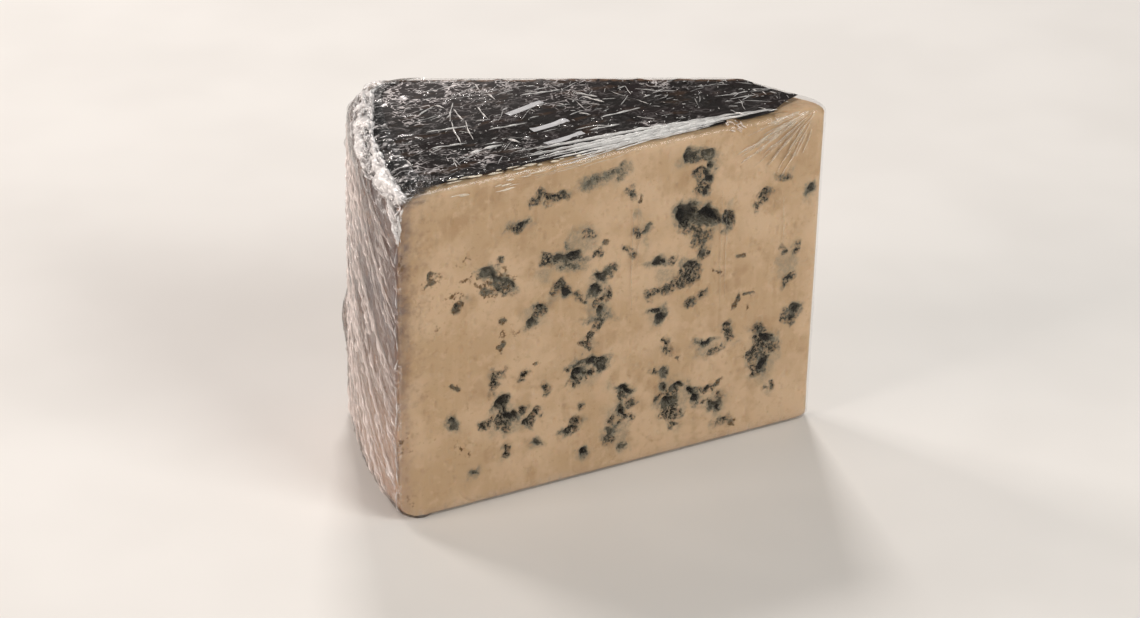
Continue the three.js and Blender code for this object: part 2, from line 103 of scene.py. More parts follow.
class Noise:
    """Seeded smooth noise for whole arrays of points."""

    SIDE = 64

    def __init__(self, seed: int) -> None:
        """Fills the lattice.

        Args:
            seed: Chooses the lattice's values.
        """
        self.lattice = np.random.default_rng(seed).random((self.SIDE,) * 3)

    def at(self, points: Array, size: float) -> Array:
        """Returns noise from 0 to 1.

        Args:
            points: Points in millimetres, as an array whose last axis has three values.
            size: The size of its features in millimetres.
        """
        scaled = points / size
        cell = np.floor(scaled).astype(int)
        share = scaled - cell
        share = share * share * (3.0 - 2.0 * share)
        total = np.zeros(points.shape[:-1])
        for corner in np.ndindex(2, 2, 2):
            index = (cell + corner) % self.SIDE
            weight = np.prod(np.where(np.array(corner), share, 1.0 - share), axis=-1)
            total += weight * self.lattice[index[..., 0], index[..., 1], index[..., 2]]
        return total

    def fractal(self, points: Array, size: float, octaves: int) -> Array:
        """Returns several octaves of noise, from 0 to 1."""
        weights = [0.5**i for i in range(octaves)]
        layers = [w * self.at(points + 31.7 * i, size * 0.5**i) for i, w in enumerate(weights)]
        return sum(layers) / sum(weights)

    def ridges(self, points: Array, size: float, octaves: int) -> Array:
        """Returns noise from 0 to 1 whose crests are sharp, like the folds of thin film."""
        weights = [0.6**i for i in range(octaves)]
        layers = [
            w * (1.0 - np.abs(2.0 * self.at(points + 17.3 * i, size * 0.5**i) - 1.0)) ** 2
            for i, w in enumerate(weights)
        ]
        return sum(layers) / sum(weights)

    def facets(self, points: Array, size: float) -> Array:
        """Returns values from about -1 to 1 that slope evenly within cells, like the faces of crystals."""
        scaled = points / size
        cell = np.floor(scaled).astype(int)
        nearest = np.full(points.shape[:-1], np.inf)
        value = np.zeros(points.shape[:-1])
        for shift in np.ndindex(3, 3, 3):
            index = cell + shift - 1
            x, y, z = np.moveaxis(index % self.SIDE, -1, 0)
            draws = np.stack([self.lattice[(x + 7 * k) % self.SIDE, y, z] for k in range(6)], axis=-1)
            offset = scaled - index - draws[..., :3]
            gap = (offset**2).sum(axis=-1)
            slope = (offset * (2.0 * draws[..., 3:] - 1.0)).sum(axis=-1) + 1.2 * draws[..., 3] - 0.6
            value = np.where(gap < nearest, slope, value)
            nearest = np.minimum(nearest, gap)
        return value


@dataclass(frozen=True)
class Edge:
    """How far a horizontal edge is rounded: sideways and in height."""

    side: float
    rise: float


@dataclass(frozen=True)
class Cut:
    """One upright flat face: the point it starts from, and the ways it runs and faces, in plan."""

    start: Array
    run: Array
    out: Array

    @property
    def distance(self) -> float:
        """How far the face lies from the wheel's axis."""
        return float(self.start @ self.out)

    def along(self, points: Array) -> Array:
        """Returns how far along the face points lie."""
        return (points[..., :2] - self.start) @ self.run

    def off(self, points: Array) -> Array:
        """Returns how far off the face points lie, outwards."""
        return points[..., :2] @ self.out - self.distance


@dataclass(frozen=True)
class Corner:
    """The rounding of an upright edge, or the wheel's own: its middle in plan, and its radius."""

    middle: Array
    radius: float

    def arc(self, start: Array, end: Array, count: int) -> Array:
        """Returns its points, anticlockwise from one direction up to, but not at, another."""
        first, last = (math.atan2(way[1], way[0]) for way in (start, end))
        last += 2 * math.pi * math.ceil((first - last) / (2 * math.pi))
        return self.middle + bearing(first + (last - first) * np.arange(count) / count, self.radius)

    def side(self, other: "Corner", out: Array, count: int) -> Array:
        """Returns the points of the flat side from here up to, but not at, the next corner."""
        start, end = (corner.middle + out * corner.radius for corner in (self, other))
        return start + (end - start) * (np.arange(count) / count)[:, None]


@dataclass(frozen=True)
class Steps:
    """How many columns a skin has on each side of the wedge, and at its tight and broad upright edges."""

    front: int
    nose: int
    back: int
    rind: int
    corner: int = 6
    broad: int = 12


@dataclass(frozen=True)
class Wedge:
    """The wedge's form, and the surfaces that lie off it by a distance.

    A corner below zero is one where those surfaces turn more sharply than their distance off it.
    """

    height: float = 88.4
    radius: float = 154.4
    half_angle: float = math.radians(13.0)
    cut_slip: float = 12.0
    nose_front: float = 37.0
    nose_back: float = 54.0
    rind_shoulder: Edge = Edge(7.0, 5.5)
    rind_foot: Edge = Edge(9.0, 6.0)
    cut_shoulder: Edge = Edge(1.3, 1.3)
    cut_foot: Edge = Edge(1.0, 1.0)
    tip_corner: float = 1.6
    nose_back_corner: float = 9.0
    rind_back_corner: float = 10.0
    rind_front_corner: float = -0.5

    @property
    def apex(self) -> Array:
        """Where the two cuts would meet, in plan."""
        return np.array([0.0, self.cut_slip])

    def to_rind(self, angle: Array, radius: float) -> Array:
        """Returns how far it is from where the cuts would meet to a circle about the wheel's axis."""
        ahead = bearing(angle) @ self.apex
        return np.sqrt(ahead * ahead - self.apex @ self.apex + radius * radius) - ahead

    def _cut(self, angle: float, turn: float) -> Cut:
        """Returns the cut that runs to the rind at an angle and faces a quarter turn from it."""
        start = self.apex + bearing(angle, self.to_rind(angle, self.radius))
        return Cut(start, -bearing(angle), bearing(angle + turn))

    @property
    def front(self) -> Cut:
        """The cut that the photograph shows."""
        return self._cut(math.pi + self.half_angle, math.pi / 2)

    @property
    def back(self) -> Cut:
        """The cut behind it."""
        return self._cut(math.pi - self.half_angle, -math.pi / 2)

    @property
    def nose(self) -> Cut:
        """The slanting cut across the tip."""
        tip = self.apex + bearing(math.pi + self.half_angle, self.nose_front)
        run = unit(self.apex + bearing(math.pi - self.half_angle, self.nose_back) - tip)
        return Cut(tip, run, np.array([run[1], -run[0]]))

    @staticmethod
    def _drawn_in(depth: float, edge: Edge, side: float, rise: float) -> float:
        """Returns how far a rounded edge has drawn in at a depth past where it begins."""
        share = min(max(depth / (edge.rise + rise), 0.0), 1.0)
        return (edge.side + side) * (1.0 - math.sqrt(1.0 - share * share))

    def inset(self, up: float, grow: float, top: float, shoulder: Edge, foot: Edge) -> float:
        """Returns how far a wall stands back at a height.

        Args:
            up: The height.
            grow: How far off the bare cheese the wall lies.
            top: How far above the bare cheese the top lies.
            shoulder: The rounding of its upper edge.
            foot: The rounding of its lower edge.
        """
        upper = self._drawn_in(up - self.height + shoulder.rise, shoulder, grow, top)
        return upper + self._drawn_in(foot.rise - up, foot, grow, 0.0)

    def outline(self, up: float, grow: float, top: float, steps: Steps) -> Array:
        """Returns the outline at one height, anticlockwise from the rind end of the front cut.

        Args:
            up: The height.
            grow: How far off the bare cheese the walls lie.
            top: How far above the bare cheese the top lies.
            steps: The number of columns on each side.

        Returns:
            The plan points, as an array of pairs.
        """
        cut_in = self.inset(up, grow, top, self.cut_shoulder, self.cut_foot) - grow
        radius = self.radius + grow - self.inset(up, grow, top, self.rind_shoulder, self.rind_foot)
        front, nose, back = self.front, self.nose, self.back

        def between(a: Cut, b: Cut, corner: float) -> Corner:
            reach = [cut.distance - cut_in - corner - grow for cut in (a, b)]
            return Corner(np.linalg.solve(np.array([a.out, b.out]), reach), corner + grow)

        def at_rind(cut: Cut, corner: float) -> Corner:
            away = cut.distance - cut_in - corner - grow
            inner = radius - corner - grow
            return Corner(cut.out * away - cut.run * math.sqrt(inner * inner - away * away), corner + grow)

        tip = between(front, nose, self.tip_corner)
        nose_back = between(nose, back, self.nose_back_corner)
        rind_back = at_rind(back, self.rind_back_corner)
        rind_front = at_rind(front, self.rind_front_corner)
        wheel = Corner(np.zeros(2), radius)
        return np.concatenate(
            [
                rind_front.side(tip, front.out, steps.front),
                tip.arc(front.out, nose.out, steps.corner),
                tip.side(nose_back, nose.out, steps.nose),
                nose_back.arc(nose.out, back.out, steps.broad),
                nose_back.side(rind_back, back.out, steps.back),
                rind_back.arc(back.out, rind_back.middle, steps.broad),
                wheel.arc(rind_back.middle, rind_front.middle, steps.rind),
                rind_front.arc(rind_front.middle, front.out, steps.corner),
            ]
        )

    def heights(self, top: float, foot: int, wall: int, shoulder: int) -> Array:
        """Returns the heights of a skin's rows, closest together where the edges turn."""
        low, high = self.rind_foot.rise, self.height - self.rind_shoulder.rise
        turn_foot = np.linspace(1.0, 0.0, foot + 1)[:-1] * math.pi / 2
        turn_top = np.linspace(0.0, 1.0, shoulder + 1)[1:] * math.pi / 2
        return np.concatenate(
            [
                low - low * np.sin(turn_foot),
                np.linspace(low, high, wall + 1),
                high + (self.rind_shoulder.rise + top) * np.sin(turn_top),
            ]
        )

    def walls(self, ups: Array, grow: float, top: float, steps: Steps) -> Array:
        """Returns the walls as an array of rows by columns by three."""
        return np.array([raised(self.outline(float(up), grow, top, steps), up) for up in ups])

    def angle(self, across: Array) -> Array:
        """Returns the direction of the rays at shares of the way from the front cut to the back."""
        return math.pi + self.half_angle * (1.0 - 2.0 * across)

    def rays(self, inward: Array, across: Array) -> Array:
        """Returns plan points by distance in from the rind and share of the way from front to back."""
        angle = self.angle(across)
        distance = self.to_rind(angle, self.radius) - inward
        return self.apex + bearing(angle, distance)

    def over_top(self, plan: Array, grow: float, top: float) -> tuple[Array, Array]:
        """Returns points over plan points on the top, rounded down over the rind, and their normals."""
        side, rise = self.rind_shoulder.side + grow, self.rind_shoulder.rise + top
        radius = np.linalg.norm(plan, axis=-1)
        over = np.clip((radius - self.radius - grow + side) / side, 0.0, 0.999)
        drop = np.sqrt(1.0 - over * over)
        slope = rise / side * over / drop
        normal = raised(plan / radius[..., None] * slope[..., None], 1.0)
        return raised(plan, self.height + top - rise * (1.0 - drop)), unit(normal)


def span(ring: Array, steps: Steps) -> Array:
    """Fills a ring whose opposite sides have equally many columns, with a patch between its four sides.

    Args:
        ring: The ring's points.
        steps: The counts that it was made with, with equal edges.

    Returns:
        The patch, as rows from the front to the back.
    """
    half = steps.corner // 2
    turned = np.roll(ring, half, axis=0)
    counts = [steps.front, steps.nose, steps.back, steps.rind]
    starts = np.cumsum([0] + [count + steps.corner for count in counts])
    closed = np.concatenate([turned, turned[:1]])
    front, nose, back, rind = (closed[a : b + 1] for a, b in zip(starts, starts[1:]))
    back, rind = back[::-1], rind[::-1]
    u = np.linspace(0.0, 1.0, len(front))[None, :, None]
    v = np.linspace(0.0, 1.0, len(nose))[:, None, None]
    lofted = (1 - v) * front[None] + v * back[None] + (1 - u) * rind[:, None] + u * nose[:, None]
    corners = (1 - u) * (1 - v) * front[0] + u * (1 - v) * front[-1]
    corners = corners + (1 - u) * v * back[0] + u * v * back[-1]
    return lofted - corners


class Sheet:
    """A mesh in the making: points, faces and a value at each point for each named attribute."""

    def __init__(self) -> None:
        """Starts with nothing."""
        self.points: list[Array] = []
        self.faces: list[Array] = []
        self.values: dict[str, list[Array]] = {}
        self.count = 0

    def grid(self, points: Array, closed: bool = False, flip: bool = False, **values: Array) -> "Sheet":
        """Adds a grid of quads.

        Args:
            points: Rows by columns by three.
            closed: Whether the last column joins the first.
            flip: Whether the faces look the other way.
            values: An array of rows by columns for each attribute.

        Returns:
            This sheet.
        """
        rows, columns = points.shape[:2]
        index = self.count + np.arange(rows * columns).reshape(rows, columns)
        if closed:
            index = np.concatenate([index, index[:, :1]], axis=1)
        quads = np.stack([index[:-1, :-1], index[:-1, 1:], index[1:, 1:], index[1:, :-1]], axis=-1)
        quads = quads.reshape(-1, 4)
        self.faces.append(quads[:, ::-1] if flip else quads)
        self.points.append(points.reshape(-1, 3))
        for name, value in values.items():
            self.values.setdefault(name, []).append(np.broadcast_to(value, (rows, columns)).ravel())
        self.count += rows * columns
        return self

    def make(self, name: str, material: bpy.types.Material, weld: bool = False) -> bpy.types.Object:
        """Makes the object, in metres in the row frame.

        Args:
            name: The piece's name.
            material: Its finish.
            weld: Whether points that coincide become one.

        Returns:
            The new object.
        """
        points = (np.concatenate(self.points) + WHEEL_AXIS) * MM
        mesh = bpy.data.meshes.new(name)
        mesh.from_pydata(points.tolist(), [], np.concatenate(self.faces).tolist())
        for key, parts in self.values.items():
            layer = mesh.attributes.new(key, "FLOAT", "POINT")
            layer.data.foreach_set("value", np.concatenate(parts).astype(np.float32))
        mesh.polygons.foreach_set("use_smooth", np.ones(len(mesh.polygons), dtype=bool))
        mesh.materials.append(material)
        made = bpy.data.objects.new(name, mesh)
        bpy.context.scene.collection.objects.link(made)
        if weld:
            weld_points(made)
        mesh.update()
        return made


def weld_points(piece: bpy.types.Object) -> None:
    """Joins the points of a mesh that lie in the same place."""
    modifier = piece.modifiers.new("weld", "WELD")
    modifier.merge_threshold = 1e-6
    shape = bpy.data.meshes.new_from_object(piece.evaluated_get(bpy.context.evaluated_depsgraph_get()))
    piece.modifiers.clear()
    piece.data = shape


def surface_normals(grid: Array, closed: bool = False) -> Array:
    """Returns the unit normal at each point of a grid, by its neighbours.

    Args:
        grid: Rows by columns by three.
        closed: Whether the last column joins the first.
    """
    if closed:
        across = np.roll(grid, -1, axis=1) - np.roll(grid, 1, axis=1)
    else:
        across = np.gradient(grid, axis=1)
    return unit(np.cross(across, np.gradient(grid, axis=0)))


class Nodes:
    """Writes a material's node tree, with a short method for each kind of node used here."""

    def __init__(self, name: str) -> None:
        """Starts an empty tree.

        Args:
            name: The material's name.
        """
        self.material = bpy.data.materials.new(name)
        self.material.use_nodes = True
        self.tree = self.material.node_tree
        self.tree.nodes.clear()
        self.place = self.add("ShaderNodeTexCoord").outputs["Object"]

    def add(
        self, kind: str, inputs: dict[str | int, object] | None = None, **settings: object
    ) -> bpy.types.Node:
        """Adds a node.

        Args:
            kind: The node's type.
            inputs: A value or an output for each named or numbered input.
            settings: Values for the node's own properties.

        Returns:
            The node.
        """
        node = self.tree.nodes.new(kind)
        for key, value in settings.items():
            setattr(node, key, value)
        for key, value in (inputs or {}).items():
            if isinstance(value, Socket):
                self.tree.links.new(value, node.inputs[key])
            else:
                node.inputs[key].default_value = value
        return node

    def math(self, operation: str, a: object, b: object = 0.0, clamp: bool = False) -> Socket:
        """Returns the result of one sum on two values."""
        return self.add("ShaderNodeMath", {0: a, 1: b}, operation=operation, use_clamp=clamp).outputs[0]

    def spread(
        self, value: object, low: float, high: float, to_low: float = 0.0, to_high: float = 1.0
    ) -> Socket:
        """Returns a value eased from one range to another."""
        inputs = {"Value": value, "From Min": low, "From Max": high, "To Min": to_low, "To Max": to_high}
        return self.add("ShaderNodeMapRange", inputs, interpolation_type="SMOOTHSTEP").outputs["Result"]

    def mix(self, share: object, a: object, b: object) -> Socket:
        """Returns a mixture of two colours."""
        first, second = (tint if isinstance(tint, Socket) else (*tint, 1.0) for tint in (a, b))
        return self.add("ShaderNodeMix", {0: share, 6: first, 7: second}, data_type="RGBA").outputs[2]

    def layered(self, base: object, *layers: tuple[object, object]) -> Socket:
        """Returns a colour with others laid over it in turn, each by its share."""
        for share, tint in layers:
            base = self.mix(share, base, tint)
        return base

    def value(self, name: str) -> Socket:
        """Returns a value that is stored at the mesh's points."""
        return self.add("ShaderNodeAttribute", attribute_name=name).outputs["Fac"]

    def stretched(self, turn: tuple[float, float, float], scale: tuple[float, float, float]) -> Socket:
        """Returns the object's coordinates, turned by degrees and scaled."""
        inputs = {"Vector": self.place, "Rotation": [math.radians(angle) for angle in turn]}
        turned = self.add("ShaderNodeMapping", inputs).outputs[0]
        return self.add("ShaderNodeMapping", {"Vector": turned, "Scale": scale}).outputs[0]

    def noise(self, size: float, detail: float, place: Socket | None = None, rough: float = 0.5) -> Socket:
        """Returns noise whose features have a size in millimetres."""
        inputs = {"Vector": place or self.place, "Scale": 1.0 / (size * MM)}
        inputs |= {"Detail": detail, "Roughness": rough}
        return self.add("ShaderNodeTexNoise", inputs).outputs["Fac"]

    def cells(self, size: float) -> Socket:
        """Returns how far it is to the walls between random cells of a size in millimetres."""
        inputs = {"Vector": self.place, "Scale": 1.0 / (size * MM)}
        return self.add("ShaderNodeTexVoronoi", inputs, feature="DISTANCE_TO_EDGE").outputs["Distance"]

    def bump(
        self, height: Socket, depth: float, strength: float = 1.0, under: Socket | None = None
    ) -> Socket:
        """Returns a normal for relief of a depth in millimetres."""
        inputs = {"Height": height, "Distance": depth * MM, "Strength": strength}
        if under is not None:
            inputs["Normal"] = under
        return self.add("ShaderNodeBump", inputs).outputs["Normal"]

    def finish(self, shader: bpy.types.Node) -> bpy.types.Material:
        """Ends the tree with a shader and returns the material."""
        self.add("ShaderNodeOutputMaterial", {"Surface": shader.outputs[0]})
        return self.material

    def solid(self, inputs: dict[str, object]) -> bpy.types.Material:
        """Ends the tree with an ordinary opaque surface and returns the material."""
        return self.finish(self.add("ShaderNodeBsdfPrincipled", inputs))


@dataclass(frozen=True)
class PasteFinish:
    """Moist cream paste with blue-green mould, brown specks and a pinkish rind.

    The mesh holds how far each point is into a vein, how crumbly the vein is there, how craggy its hollow
    is, which keeps painted shade off its shallower crystal faces, how brown it is, how near the rind it lies
    and how near the foot, where painted bounce light warms the rind.
    """

    cream: Colour = (0.54, 0.368, 0.215)
    pale: Colour = (0.64, 0.455, 0.29)
    ochre: Colour = (0.42, 0.265, 0.137)
    halo: Colour = (0.315, 0.265, 0.185)
    mould: Colour = (0.085, 0.075, 0.049)
    slate: Colour = (0.225, 0.205, 0.15)
    frost: Colour = (0.52, 0.47, 0.38)
    # Dark mould with painted shade for the pockets' hollows, and a deeper painted shade for their deepest
    # middles.
    crumb_and_shade: Colour = (0.020, 0.015, 0.008)
    hollow_shade: Colour = (0.006, 0.004, 0.002)
    brown: Colour = (0.16, 0.082, 0.026)
    rind: Colour = (0.175, 0.105, 0.082)
    rust: Colour = (0.27, 0.135, 0.07)
    bloom: Colour = (0.18, 0.135, 0.13)
    # Painted warm bounce light on the rind toward its foot.
    bounce_peach: Colour = (0.47, 0.315, 0.225)

    def material(self) -> bpy.types.Material:
        """Returns the material."""
        n = Nodes("paste")
        fine = n.noise(2.2, 4.0, rough=0.6)
        raw = n.noise(0.85, 5.0, rough=0.75)
        crumbs = n.spread(raw, 0.37, 0.63, -0.5, 0.5)
        loose = n.math("MULTIPLY", n.value("crumbly"), n.spread(n.value("vein"), 0.02, 0.3))
        vein = n.math("ADD", n.value("vein"), n.math("MULTIPLY", crumbs, loose))
        lining = n.mix(n.spread(n.noise(1.4, 4.0, rough=0.65), 0.44, 0.58), self.mould, self.slate)
        frost = n.spread(n.noise(0.7, 4.0, rough=0.7), 0.56, 0.66)
        frosted = n.math("MULTIPLY", n.math("MULTIPLY", frost, n.value("crumbly")), 0.75)
        lining = n.mix(frosted, lining, self.frost)
        # Painted shade in the hollows over dark mould: strongest in the pockets' deep middles, taken off
        # their shallower crystal faces.
        crag = n.math("MULTIPLY", n.value("crag"), 0.7)
        dark = n.math("SUBTRACT", n.spread(vein, 0.54, 0.66), crag, clamp=True)
        colour = n.layered(
            self._plain(n, fine),
            (n.spread(vein, 0.03, 0.42, 0.0, 0.85), self.halo),
            (n.spread(vein, 0.36, 0.52, 0.0, 0.9), lining),
            (dark, self.crumb_and_shade),
            (n.math("MULTIPLY", dark, n.spread(vein, 0.8, 1.0)), self.hollow_shade),
        )
        relief = n.bump(fine, 0.22, 0.5)
        relief = n.bump(n.noise(0.45, 2.0), 0.08, 0.5, relief)
        relief = n.bump(n.math("MULTIPLY", crumbs, loose), 0.5, 0.9, relief)
        return n.solid(
            {
                "Base Color": colour,
                "Roughness": n.spread(fine, 0.3, 0.7, 0.52, 0.4),
                "Subsurface Weight": n.spread(vein, 0.1, 0.5, 0.3, 0.0),
                "Subsurface Radius": (1.0, 0.6, 0.32),
                "Subsurface Scale": 0.002,
                "Specular IOR Level": 0.25,
                "Normal": relief,
            }
        )

    def _plain(self, n: Nodes, fine: Socket) -> Socket:
        """Colours the paste between its veins, and its rind.

        Args:
            n: The material in the making.
            fine: Noise with features of about two millimetres.

        Returns:
            The colour.
        """
        brushed = n.noise(2.2, 3.0, n.stretched((0, 0, 0), (1.0, 1.0, 0.08)))
        skin = n.layered(
            self.rind,
            (n.spread(n.noise(7.0, 4.0), 0.46, 0.6), self.bloom),
            (n.spread(n.noise(4.0, 4.0, rough=0.6), 0.56, 0.66), self.rust),
            # painted warm bounce light toward the foot
            (n.value("foot"), self.bounce_peach),
        )
        # The paste turns toward the rind's darker, browner colour within about 15 mm of the rind, and takes
        # it fully on the rind.
        toward_rind = n.math("ADD", n.value("rind"), n.spread(fine, 0.3, 0.7, -0.12, 0.12))
        stain = n.math("ADD", n.value("brown"), n.spread(n.noise(1.1, 3.0), 0.3, 0.7, -0.3, 0.3))
        return n.layered(
            self.cream,
            (n.spread(n.noise(17.0, 4.0), 0.4, 0.6), self.pale),
            (n.spread(n.noise(9.0, 3.0), 0.52, 0.68, 0.0, 0.55), self.ochre),
            (n.spread(n.noise(3.2, 4.0, rough=0.6), 0.54, 0.68, 0.0, 0.6), self.pale),
            (n.spread(brushed, 0.5, 0.75, 0.0, 0.4), self.pale),
            (n.spread(fine, 0.5, 0.78, 0.0, 0.4), self.ochre),
            (n.spread(n.noise(1.3, 3.0, rough=0.65), 0.63, 0.73, 0.0, 0.6), self.ochre),
            (n.spread(toward_rind, 0.1, 0.95), skin),
            (n.spread(stain, 0.24, 0.6), self.brown),
        )


@dataclass(frozen=True)
class FoilFinish:
    """Dark foil paper with purple and umber in it, scuffed, and with a painted reddish-brown glint along its
    fold over the back edge.
    """

    charcoal: Colour = (0.009, 0.0065, 0.0055)
    purple: Colour = (0.022, 0.015, 0.015)
    umber: Colour = (0.050, 0.026, 0.013)
    scuff: Colour = (0.10, 0.085, 0.08)
    # A painted reddish-brown glint along the fold over the back edge.
    copper_glint: Colour = (0.20, 0.115, 0.07)

    def material(self) -> bpy.types.Material:
        """Returns the material."""
        n = Nodes("foil")
        broad = n.noise(9.0, 4.0)
        other = n.noise(5.0, 4.0, n.stretched((0, 0, -13), (0.5, 1.3, 1.0)))
        scratch = n.noise(0.5, 3.0, n.stretched((0, 0, -13), (0.07, 1.0, 1.0)))
        # Where the painted glint lies: along the fold over the back edge, broken up by noise.
        worn = n.math("MULTIPLY", n.value("worn"), n.spread(n.noise(2.0, 4.0, rough=0.6), 0.38, 0.56))
        colour = n.layered(
            self.charcoal,
            (n.spread(broad, 0.42, 0.66), self.purple),
            (n.spread(other, 0.54, 0.68, 0.0, 0.9), self.umber),
            (n.spread(scratch, 0.6, 0.74, 0.0, 0.5), self.scuff),
            (worn, self.copper_glint),
        )
        relief = n.bump(n.noise(3.0, 4.0), 0.4, 0.5)
        relief = n.bump(scratch, 0.06, 0.5, relief)
        roughness = n.spread(broad, 0.3, 0.7, 0.45, 0.7)
        inputs = {"Base Color": colour, "Roughness": roughness, "Specular IOR Level": 0.05, "Normal": relief}
        return n.solid(inputs)


@dataclass(frozen=True)
class InkFinish:
    """Pale printed ink, thin enough to show the foil's creases."""

    ink: Colour = (0.66, 0.66, 0.68)
    worn: Colour = (0.22, 0.21, 0.21)

    def material(self) -> bpy.types.Material:
        """Returns the material."""
        n = Nodes("ink")
        rubbed = n.noise(1.0, 4.0, n.stretched((0, 0, -13), (0.3, 1.0, 1.0)))
        colour = n.mix(n.spread(rubbed, 0.58, 0.74, 0.0, 0.6), self.ink, self.worn)
        return n.solid({"Base Color": colour, "Roughness": 0.5, "Normal": n.bump(rubbed, 0.08)})


@dataclass(frozen=True)
class FilmFinish:
    """Cling film: clear and glossy, and milky white where its mesh says that it is gathered, that white
    being partly painted highlights on its creases.

    Attributes:
        name: The material's name.
        milk_and_glint: The colour of gathered film, which also paints the highlights on its creases.
        shine: How strongly it reflects, as a share of what a clear sheet does.
        turn: The direction of its finest creases, in degrees about X, Y and Z.
        stretch: How drawn out those creases are along each axis.
        fine: Their size in millimetres.
        crinkle: Their depth in millimetres.
        streaks: How much their crests add to the milkiness, as painted highlights.
        swell: The depth of its broad waves in millimetres.
        curl: How drawn out the thin curling creases are along each axis; where the film is white these are
            painted highlights.
        most: The most that it reflects, where it is seen edge-on.
        roughness: How blurred its reflections are.
    """

    name: str
    milk_and_glint: Colour = (0.82, 0.78, 0.77)
    shine: float = 1.0
    turn: tuple[float, float, float] = (0.0, 0.0, -13.0)
    stretch: tuple[float, float, float] = (0.16, 1.0, 1.0)
    fine: float = 1.3
    crinkle: float = 0.12
    streaks: float = 0.5
    swell: float = 0.3
    curl: tuple[float, float, float] = (0.6, 1.0, 1.0)
    most: float = 1.0
    roughness: float = 0.1

    def material(self) -> bpy.types.Material:
        """Returns the material."""
        n = Nodes(self.name)
        drawn = n.stretched(self.turn, self.stretch)
        long = n.noise(self.fine, 4.0, drawn, rough=0.6)
        facets = n.cells(3.6)
        relief = n.bump(n.noise(4.5, 3.0), self.swell, 0.6)
        relief = n.bump(n.spread(facets, 0.0, 0.14), self.crinkle, 0.5, relief)
        relief = n.bump(long, self.crinkle * 1.6, 0.9, relief)
        # The milky white layer: real milkiness where the film is gathered, and painted highlights on the
        # crests of its creases and along thin curling lines.
        streak = n.spread(long, 0.52, 0.68, 1.0 - self.streaks, 1.0 + self.streaks)
        gathered = n.math("MULTIPLY", n.value("haze"), streak)
        milky = n.math("ADD", gathered, n.math("MULTIPLY", n.value("wispy"), self._wisps(n)), clamp=True)
        clear = n.add("ShaderNodeBsdfTransparent")
        gloss = n.add("ShaderNodeBsdfGlossy", {"Roughness": self.roughness, "Normal": relief})
        fresnel = n.add("ShaderNodeFresnel", {"IOR": 1.5, "Normal": relief})
        shine = n.math("MINIMUM", n.math("MULTIPLY", fresnel.outputs[0], self.shine), self.most)
        film = n.add("ShaderNodeMixShader", {0: shine, 1: clear.outputs[0], 2: gloss.outputs[0]})
        # Milky white film that also paints the highlights on its creases.
        inputs = {"Base Color": (*self.milk_and_glint, 1.0), "Roughness": 0.22, "Normal": relief}
        milk_and_glint = n.add("ShaderNodeBsdfPrincipled", inputs)
        mixed = n.add("ShaderNodeMixShader", {0: milky, 1: film.outputs[0], 2: milk_and_glint.outputs[0]})
        return n.finish(mixed)

    def _wisps(self, n: Nodes) -> Socket:
        """Returns thin curling creases, broken up, where three noises pass their middle values; where the
        film's layer is white they are painted highlights.
        """
        place = n.stretched(self.turn, self.curl)
        lines = 0.0
        for size, width in ((4.2, 0.022), (2.3, 0.03), (1.2, 0.045)):
            level = n.math("ABSOLUTE", n.math("SUBTRACT", n.noise(size, 2.0, place, rough=0.35), 0.5))
            shown = n.spread(n.noise(1.9 * size + 1.0, 3.0), 0.5, 0.57)
            line = n.math("MULTIPLY", n.spread(level, 0.0, width, 1.0, 0.0), shown)
            lines = n.math("MAXIMUM", lines, line)
        return lines


class Look(Enum):
    """What a mark in the paste is made of."""

    POCKET = (1.0, 0.0, 0.3, 1.9)
    MOULD = (0.58, 0.0, 0.85, 1.9)
    SLATE = (0.56, 0.0, 0.3, 2.1)
    SMOKE = (0.24, 0.0, 0.16, 2.8)
    RUST = (0.42, 0.95, 0.5, 0.8)
    TAN = (0.0, 0.42, 0.0, 2.0)

    def __init__(self, vein: float, brown: float, crumbly: float, margin: float) -> None:
        """Names its numbers.

        Args:
            vein: How far into a vein its middle lies, from 0 to 1.
            brown: Its brown, from 0 to 1.
            crumbly: How far it is broken into crumbs, from 0 to 1.
            margin: How far its colour bleeds past its edge, in millimetres.
        """
        self.vein = vein
        self.brown = brown
        self.crumbly = crumbly
        self.margin = margin


@dataclass(frozen=True)
class Mark:
    """One mark of mould on a cut face.

    Attributes:
        along: How far it is from the rind.
        up: Its height.
        wide: Its width.
        high: Its own height.
        lean: How far its width is turned from level, in degrees.
        deep: The depth of its hollow.
        look: What it is made of.
    """

    along: float
    up: float
    wide: float
    high: float
    lean: float
    deep: float
    look: Look

    def share(self, along: Array, up: Array) -> Array:
        """Returns how far into the mark points lie: 1 in its middle, a half at its edge, 0 past its margin.

        Args:
            along: Distances from the rind, already warped.
            up: Heights, already warped.
        """
        turn = math.radians(self.lean)
        x, y = along - self.along, up - self.up
        across = (x * math.cos(turn) + y * math.sin(turn)) / (self.wide / 2)
        upright = (y * math.cos(turn) - x * math.sin(turn)) / (self.high / 2)
        beyond = (np.hypot(across, upright) - 1.0) * min(self.wide, self.high) / 2
        core = min(1.2, 0.3 * min(self.wide, self.high))
        return np.where(
            beyond < 0.0,
            0.5 + 0.5 * np.minimum(-beyond / core, 1.0),
            0.5 * np.maximum(1.0 - beyond / self.look.margin, 0.0) ** 1.9,
        )


# What the marks are, by a letter each. A row of the next table gives a mark's values in their order.
P, M, S, R, T, G = Look.POCKET, Look.MOULD, Look.SMOKE, Look.RUST, Look.TAN, Look.SLATE

